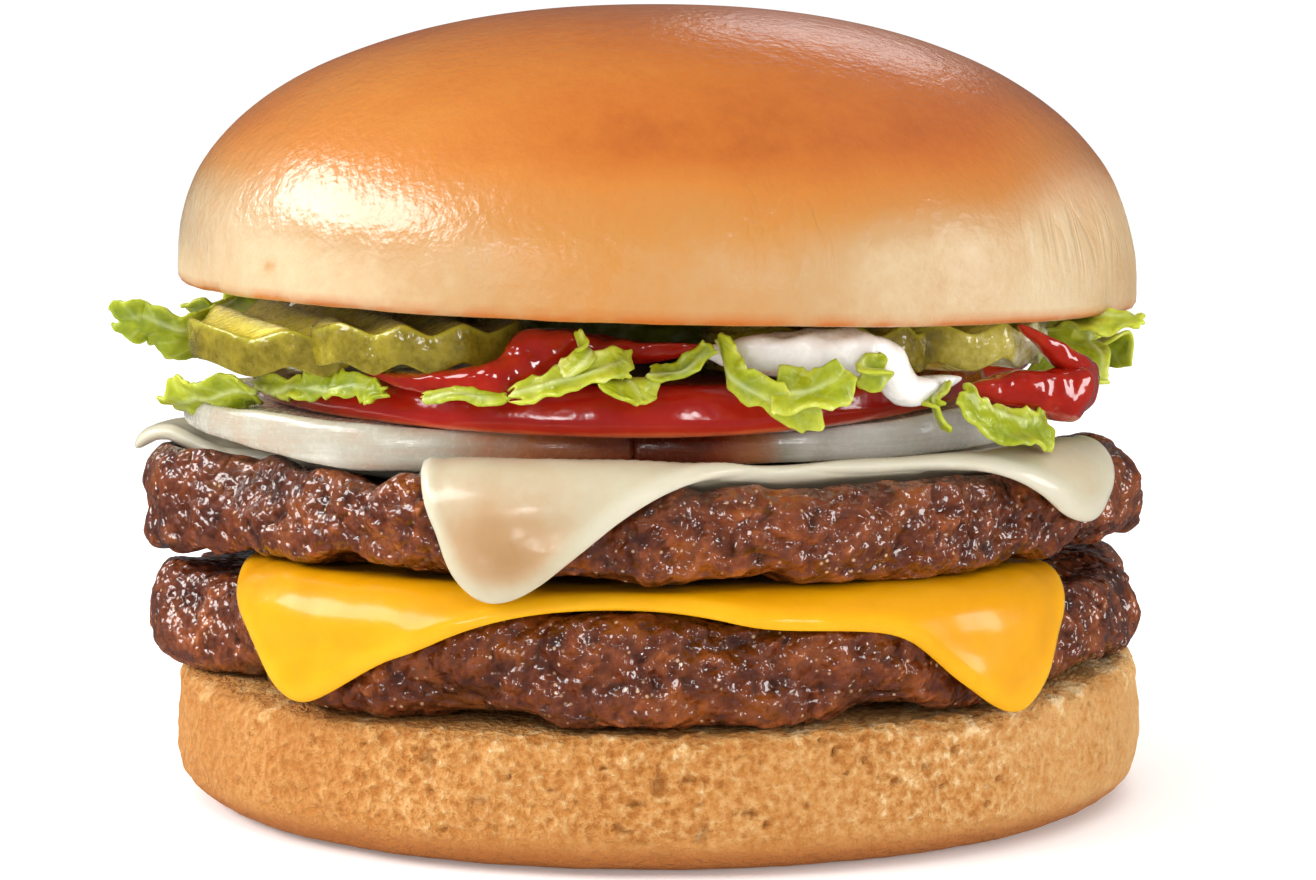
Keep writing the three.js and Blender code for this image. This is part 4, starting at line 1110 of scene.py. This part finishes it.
def onion(name, centre, radius, ends, behind):
    """Part of a slice, as rounded sections across it from its left end to its right. Three sections that
    shrink to a line close a cut end."""
    start, end = max(centre[0] - radius, ends[0]), min(centre[0] + radius, ends[1])
    cut_left, cut_right = start == ends[0], end == ends[1]
    share = (1 - np.cos(np.linspace(0, np.pi, ONION_SECTIONS))) / 2
    if cut_left or cut_right:
        one_end = np.sin(np.linspace(0, np.pi / 2, ONION_SECTIONS))
        share = one_end if cut_left else 1 - one_end[::-1]
    x = start + (end - start) * share
    squeeze = np.ones_like(x)
    closing = [0, 0.6, 0.93]
    if cut_left:
        x, squeeze = np.concatenate([x[:1].repeat(3), x]), np.concatenate([closing, squeeze])
    if cut_right:
        x, squeeze = np.concatenate([x, x[-1:].repeat(3)]), np.concatenate([squeeze, closing[::-1]])
    half_chord = np.sqrt(np.maximum(radius**2 - (x - centre[0]) ** 2, 0))
    front = np.maximum(centre[1] - half_chord, behind)[:, None]
    back = np.maximum(centre[1] + half_chord[:, None], front)
    x, squeeze = x[:, None], squeeze[:, None]

    h = ONION_THICKNESS / 2
    turn = np.radians(np.linspace(-90, 90, 15))
    rim_y, rim_z = h * np.cos(turn) ** 0.8, h * signed_power(np.sin(turn), 0.8)
    flat = np.linspace(0, 1, 30)[1:-1]
    length = back - front
    edge = np.minimum(h, length / 2)
    inner = length - 2 * edge
    loop = np.concatenate([
        points(front + edge - edge / h * rim_y, rim_z),
        points(front + edge + inner * flat, h),
        points(back - edge + edge / h * rim_y[::-1], rim_z[::-1]),
        points(back - edge - inner * flat, -h),
    ], axis=1)
    middle = (front + back) / 2
    y = middle + (loop[..., 0] - middle) * squeeze
    z = loop[..., 1] * squeeze * np.maximum(np.minimum(length / (2 * h), 1), 0.15) ** 0.5
    x = x + 0 * y
    place = points(x, y, ONION_BOTTOM + h + z + curl(ONION_CURL, x))
    ring = np.hypot(x - centre[0], y - centre[1])
    layers = 0.14 * np.cos(2 * np.pi * (ring / 3.4 + 0.15 * noise(place, 12, 221)))
    place[..., 2] += (0.25 * fractal(place, 8, 225) + layers) * ease(np.abs(z), 0, h) * np.sign(z)
    room = TOMATO_BOTTOM + curl(TOMATO_CURL, x) - (ONION_BOTTOM + 2 * h + curl(ONION_CURL, x))
    place[..., 2] += np.clip(room, 0, 1.7) * ease(x, -47, -42) * ease(z, -h, h) * squeeze
    place[..., 2] -= 1.3 * bump_at(x, -33, 11) * ease(z, h, -h) * squeeze
    tone = 0.6 + 0.3 * fractal(place, 14, 235)
    # Darker in the middle, towards the cut ends: partly fried, partly painted shadow of the tomato above.
    if name == "onion_left":
        tone = 0.72 + 0.08 * fractal(place, 6, 231) - 0.46 * ease(x, -26, -3)
    if name == "onion_right":
        tone = 0.12 + 0.32 * ease(x, 4, 11) + 0.4 * ease(x, 10, 16) + 0.16 * ease(x, 17, 24)
    ring_piece(name, "onion", place, tone=tone)


def pickle(name, centre, radius, lean, towards, ridges, seed):
    """A crinkle-cut slice, made flat with its ridges along y, then turned and tilted into its place."""
    half = PICKLE_THICKNESS / 2
    face_r = np.linspace(0, radius - 0.5, 18)[:-1]
    turn = np.radians(np.linspace(-90, 90, 17))
    rim_z = (half - 0.25) * np.sin(turn) + 0.25 * np.sin(turn) ** 5
    rim = points(radius - 0.5 + 0.5 * np.abs(np.cos(turn)) ** 0.5, rim_z)
    profile = np.concatenate([points(face_r, -half), rim, points(face_r[::-1], half)])
    angle, r, up = turned(profile, PICKLE_AROUND)
    ragged = 1 + 0.012 * noise(points(4 * np.cos(angle), 4 * np.sin(angle), 0), 1, seed)
    x, y = plan(r * ragged, angle)
    phase = 2 * np.pi * x / RIDGE_PITCH + 0.5 * noise(points(x / 9, y / 9, 0), 1, seed + 1)
    ridge = -np.arcsin(RIDGE_SHARPNESS * np.cos(phase)) / np.arcsin(RIDGE_SHARPNESS)
    z = up + RIDGE_HEIGHT * ridge
    seat = points(x, y, z)
    wavy = 0.08 * fractal(seat, 2.4, seed + 3, 2) + 0.18 * fractal(seat, 7, seed + 7, 2)
    z = z + wavy * np.sign(up) * ease(np.abs(up), 1, half)
    flute = 0.3 * ridge * np.abs(np.sin(angle)) + 0.2 * fractal(seat, 1.8, seed + 11)
    flute += 0.2 * fractal(seat, 5, seed + 13)
    out = 1 + (flute - 0.15) / radius * ease(r, radius - 3, radius)
    x, y = x * out, y * out

    spin, towards, tilt = (math.radians(degrees) for degrees in (ridges - 90, towards, lean))
    x, y = x * math.cos(spin) - y * math.sin(spin), x * math.sin(spin) + y * math.cos(spin)
    axis = np.array([-math.sin(towards), math.cos(towards), 0])
    local = points(x, y, z)
    place = (
        local * math.cos(tilt) + np.cross(axis, local) * math.sin(tilt)
        + (local @ axis)[..., None] * axis * (1 - math.cos(tilt)) + np.array(centre)
    )
    skin = ease(r, radius - 0.9, radius - 0.4)
    # Painted light and shade: the flesh is lighter on the ridges' crests and darker in their grooves, on both
    # faces.
    tone = 0.42 + (0.2 + 0.24 * ridge * np.sign(up)) * (1 - skin) + 0.12 * fractal(place, 4, seed + 17)
    if name == "pickle_right":
        tone += skin * (0.42 * ease(place[..., 0], 28, 33) + 0.25 * ease(place[..., 0], 37, 41) - 0.1)
    line = bump_at(np.hypot(r - radius + 0.35, up - half + 0.2), 0, 0.35)
    ring_piece(name, "pickle", place, tone=tone, flesh=1 - skin, rim=0.4 * line)


# ---------------------------------------------------------------- sauces


def sauce(name, route, seed):
    """A ball drawn out along the sauce's route, flattened as the route says, lumpy and sagging."""
    route = np.array(route, dtype=float)
    girths = np.concatenate([route[:, 3:], np.zeros((len(route), 1))], axis=1)
    polar = np.linspace(0, np.pi, SAUCE_RINGS)
    angle = around(SAUCE_AROUND)
    s = polar / np.pi
    centre, size = spline(route[:, :3], s), spline(girths, s)
    along = tangents(route[:, :3], s)
    outward = unit(centre * (1, 1, 0))
    outward = unit(outward - along * np.sum(outward * along, axis=-1, keepdims=True))
    upward = np.cross(along, outward)
    girth = np.sin(polar) ** SAUCE_FULLNESS
    reach = -np.cos(polar)
    place = (
        centre[:, None]
        + outward[:, None] * (signed_power(np.cos(angle), 0.8) * (girth * size[:, 0])[:, None])[..., None]
        + upward[:, None] * (signed_power(np.sin(angle), 0.8) * (girth * size[:, 1])[:, None])[..., None]
        + (along * (reach * np.abs(reach) ** 6 * size[:, 1])[:, None])[:, None]
    )
    swell = 1 + 0.3 * fractal(place, 4.5, seed) + 0.1 * noise(place, 1.8, seed + 4)
    place = centre[:, None] + (place - centre[:, None]) * swell[..., None]
    sag = SAUCE_SAG
    if name == "ketchup_front":
        depth, drip_x, width = FRONT_DRIP
        sag = sag + depth * bump_at(place[..., 0], drip_x, width)
    place[..., 2] -= sag * np.maximum(-np.sin(angle), 0) * girth[:, None]
    ring_piece(name, name.split("_")[0], place, tone=0.45 + 0.15 * fractal(place, 5, seed + 9))


# ---------------------------------------------------------------- lettuce


def leaf_surface(route, widths, roll, ruffle, waves, seed, s, t):
    """A leaf's middle surface. Its outline is torn, and its edges are ruffled and crinkled. Also gives each
    point's place on the flat leaf."""
    across = 2 * t - 1
    ends = 0.05 * noise(points(3.1 * t, seed, 0), 0.6, seed) - 0.05
    s = s + ends * (2 * s - 1) * ease(np.abs(2 * s - 1), 0.6, 1) - 0.05 * across**2 * ease(s, 0.7, 1)
    along = tangents(route, s)
    side = unit(np.cross(along, np.array([0, 0, 1.0])))
    spin = np.radians(roll[0] + (roll[1] - roll[0]) * s)[..., None]
    side = side * np.cos(spin) + np.cross(along, side) * np.sin(spin)
    normal = np.cross(side, along)
    hand = np.sign(across)
    length = route_length(route)
    far = s * length
    fullness = (0.72 + 0.4 * np.sin(np.pi * (0.15 + 0.72 * s))) * (1 + 0.12 * np.sin(9 * s + seed) * hand)
    reach = (widths[0] + (widths[1] - widths[0]) * s) / 2 * fullness
    tear_place = points(far, 7.0 * hand, seed)
    jags = 1 - 2 * np.abs(noise(tear_place, 1.7, seed + 61)) + 0.6 * fractal(tear_place, 1.1, seed + 63)
    reach = reach + np.minimum(0.5, 0.34 * reach) * jags
    left = np.minimum(s, 1 - s) * length / 1.1
    reach = reach * np.maximum(1 - np.maximum(1 - left, 0) ** 2, 0.1) ** 0.5
    edge = np.abs(across)
    ripple = ruffle * np.sin(2 * np.pi * waves * s + seed + across) * edge
    frill = 0.7 * noise(points(far, 3.0 * hand, 0), 1.4, seed + 67) * edge**2 * min(1, widths[0] / 4)
    flat = points(far, across * reach, 0)
    crinkle = 0.28 * fractal(flat, 2.2, seed + 71, 2)
    rise = ripple + frill + crinkle + LEAF_CUP * reach * across * across
    return spline(route, s) + side * (across * reach)[..., None] + normal * rise[..., None], flat


def leaf_mesh(route, widths, roll, ruffle, waves, seed):
    """A leaf's vertices and faces, and its ribs and tone at each vertex."""
    length, width = route_length(route), max(widths)
    rows = int(np.clip(length / 0.22, 40, 110))
    columns = int(np.clip(width / 0.25, 16, 44))
    half = LEAF_THICKNESS / 2
    s, t = np.meshgrid(
        from_both_ends(length, half, 2, rows), from_both_ends(width, half, 2, columns), indexing="ij",
    )
    middle, flat = leaf_surface(route, widths, roll, ruffle, waves, seed, s, t)
    rim = np.minimum(np.minimum(s, 1 - s) * length, np.minimum(t, 1 - t) * width)
    across = flat[..., 1]
    aside = (cell_value(seed, 1, 2, 83) - 0.5) * 1.1 * width
    midrib = bump_at(across, aside * (1 - 0.5 * s) + 0.5 * noise(flat, 4, seed + 81), 0.3) * ease(s, 1.0, 0.5)
    slant = flat[..., 0] - 1.1 * np.abs(across)
    side_ribs = bump_at(np.mod(slant, 2.9) - 1.45 + 0.4 * noise(flat, 2, seed + 85), 0, 0.2)
    thickness = half * np.sqrt(1 - (1 - np.clip(rim / half, 0, 1)) ** 2) * (1 + 0.7 * midrib)
    vertices, faces, in_order = closed_sheet(middle, thickness)
    rib = 0.36 * midrib + 0.13 * side_ribs * ease(np.abs(across), 0.2, 0.8)
    # Paler towards the rim: partly pale torn edges, partly painted rim highlights.
    tone = 0.54 + 0.26 * fractal(flat + (0, 0, seed), 4, seed + 91) + 0.14 * ease(rim, 1.0, 0.2)
    return vertices, faces, in_order(rib), in_order(tone)


def lettuce():
    """A piece for each leaf. A branch is in the piece of the leaf that it forks from."""
    for name in LEAVES:
        if name.endswith(BRANCH):
            continue
        parts = [leaf_mesh(*LEAVES[part]) for part in (name, name + BRANCH) if part in LEAVES]
        vertices, ribs, tones = (np.concatenate([part[k] for part in parts]) for k in (0, 2, 3))
        faces = parts[0][1]
        for branch in parts[1:]:
            faces = faces + (np.array(branch[1]) + len(parts[0][0])).tolist()
        piece(name, "lettuce", vertices, faces, rib=ribs, tone=tones)


def lettuce_bed():
    """The crumpled heap of lettuce in the middle, between the tomato and the crown."""
    height, seed = BED["height"], BED["seed"]
    bend = np.radians(np.linspace(-90, 90, 40))
    profile = points(
        BED["radius"] * np.concatenate([[0, 0.3, 0.6], 0.75 + 0.25 * np.cos(bend), [0.6, 0.3, 0]]),
        height * np.concatenate([[0, 0, 0], (1 + np.sin(bend)) / 2, [1, 1, 1]]),
    )
    angle, r, up = turned(profile, BED_AROUND)
    x, y = plan(r, angle)
    place = points(x, y, up)
    fold = 1 + fractal(place, BED["cell"], seed) * BED["lumps"] + 0.07 * fractal(place, 2.4, seed + 3)
    x, y = x * fold, y * fold
    rumple = BED["rumples"] * fractal(place, 4, seed + 1) * ease(up, height * 0.4, height)
    low = TOMATO_BOTTOM + TOMATO_THICKNESS + GAP
    place = points(x, y, np.minimum(low + up + rumple, crown_base(x, y) - GAP))
    ring_piece(
        "lettuce_bed", "lettuce", place, rib=0.5 * ease(np.abs(fractal(place, 5, seed + 9)), 0.1, 0.02),
        tone=0.45 + 0.2 * fractal(place, 5, seed + 11),
    )


# ---------------------------------------------------------------- floor, lights and camera


def floor():
    """A large pale disc with a soft rim, level with the burger's underside."""
    profile = points([0, 200, 500, 900, 1200, 1205, 1200, 0], [0, 0, 0, 0, 0, -5, -10, -10])
    angle, r, drop = turned(profile, FLOOR_AROUND)
    vertices, faces = closed_grid(points(*plan(r, angle), drop - FLOOR_DROP))
    mesh = bpy.data.meshes.new("floor")
    mesh.from_pydata((vertices * MM).tolist(), [], faces)
    mesh.materials.append(floor_look())
    ground = bpy.data.objects.new("floor", mesh)
    bpy.context.scene.collection.objects.link(ground)
    ground.visible_glossy = False
    ground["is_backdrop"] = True


def softbox(name, azimuth, elevation, distance, width, height, brightness, mirrored=True):
    """A rectangular lamp that faces the burger. Azimuths count from the front, positive to the right. One of
    brightness 1 looks as bright as a world of strength 1. Wet surfaces show it only where it is mirrored."""
    lamp = bpy.data.lights.new(name, "AREA")
    lamp.shape = "RECTANGLE"
    lamp.size, lamp.size_y = width, height
    lamp.energy = brightness * math.pi * width * height
    item = bpy.data.objects.new(name, lamp)
    turn, lift = math.radians(azimuth), math.radians(elevation)
    item.location = (
        distance * math.sin(turn) * math.cos(lift), -distance * math.cos(turn) * math.cos(lift),
        AIM_HEIGHT + distance * math.sin(lift),
    )
    item.rotation_euler = (math.pi / 2 - lift, 0, turn)
    item.visible_camera = False
    item.visible_glossy = mirrored
    bpy.context.scene.collection.objects.link(item)


def world():
    """A white backdrop. It lights the burger less brightly than it looks, and is dimmer still in reflections,
    as in a studio whose walls are dark outside the picture."""
    studio = bpy.data.worlds.new("studio")
    studio.use_nodes = True
    tree = studio.node_tree
    path = tree.nodes.new("ShaderNodeLightPath")
    strength = AMBIENT
    for ray, level in (("Is Glossy Ray", MIRRORED), ("Is Camera Ray", BACKDROP)):
        choice = tree.nodes.new("ShaderNodeMix")
        plug(tree, choice.inputs["Factor"], path.outputs[ray])
        plug(tree, choice.inputs["A"], strength)
        plug(tree, choice.inputs["B"], level)
        strength = choice.outputs["Result"]
    background = tree.nodes["Background"]
    background.inputs["Color"].default_value = (1, 1, 1, 1)
    plug(tree, background.inputs["Strength"], strength)
    bpy.context.scene.world = studio


def lights():
    softbox("ceiling", 0, 90, 2.4, 5, 5, 1.2, mirrored=False)
    softbox("front_fill", -2, 10, 1.4, 1.2, 0.7, 0.7, mirrored=False)
    softbox("left_fill", -62, 7, 1.0, 0.4, 0.4, 0.35, mirrored=False)
    softbox("left_spark", -27, 11, 0.9, 0.16, 0.12, 15)
    softbox("right_spark", 26, 13, 0.9, 0.14, 0.12, 15)
    softbox("left_box", -81, 30, 0.9, 0.9, 0.34, 8.6)
    softbox("right_box", 76, 10, 1.0, 0.34, 0.44, 8)
    softbox("back_box", 168, 30, 0.9, 0.24, 0.16, 1.5)
    world()


def camera():
    """Almost level, from close in front."""
    lens = bpy.data.cameras.new("camera")
    lens.sensor_width = SENSOR
    lens.lens = FOCAL_PIXELS / PHOTO_WIDTH * SENSOR
    item = bpy.data.objects.new("camera", lens)
    item.location = CAMERA_AT
    item.rotation_euler = (math.radians(90 - CAMERA_DOWN), 0, 0)
    bpy.context.scene.collection.objects.link(item)
    bpy.context.scene.camera = item


# ---------------------------------------------------------------- the scene

camera()
floor()
lights()
bpy.context.scene.view_settings.view_transform = "Standard"

heel()
crown()
patty("lower_patty", LOWER_PATTY)
patty("upper_patty", UPPER_PATTY)
cheese("yellow_cheese", YELLOW_CHEESE)
cheese("pale_cheese", PALE_CHEESE)
for slice_sizes in ONIONS:
    onion(*slice_sizes)
for slice_sizes in TOMATOES:
    tomato(*slice_sizes)
for index, slice_sizes in enumerate(PICKLES):
    pickle(*slice_sizes, seed=301 + 20 * index)
for index, (name, route) in enumerate(SAUCES.items()):
    sauce(name, route, seed=401 + 20 * index)
lettuce()
lettuce_bed()

[[list(corner) for corner in box] for box in (cad_box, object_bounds())]
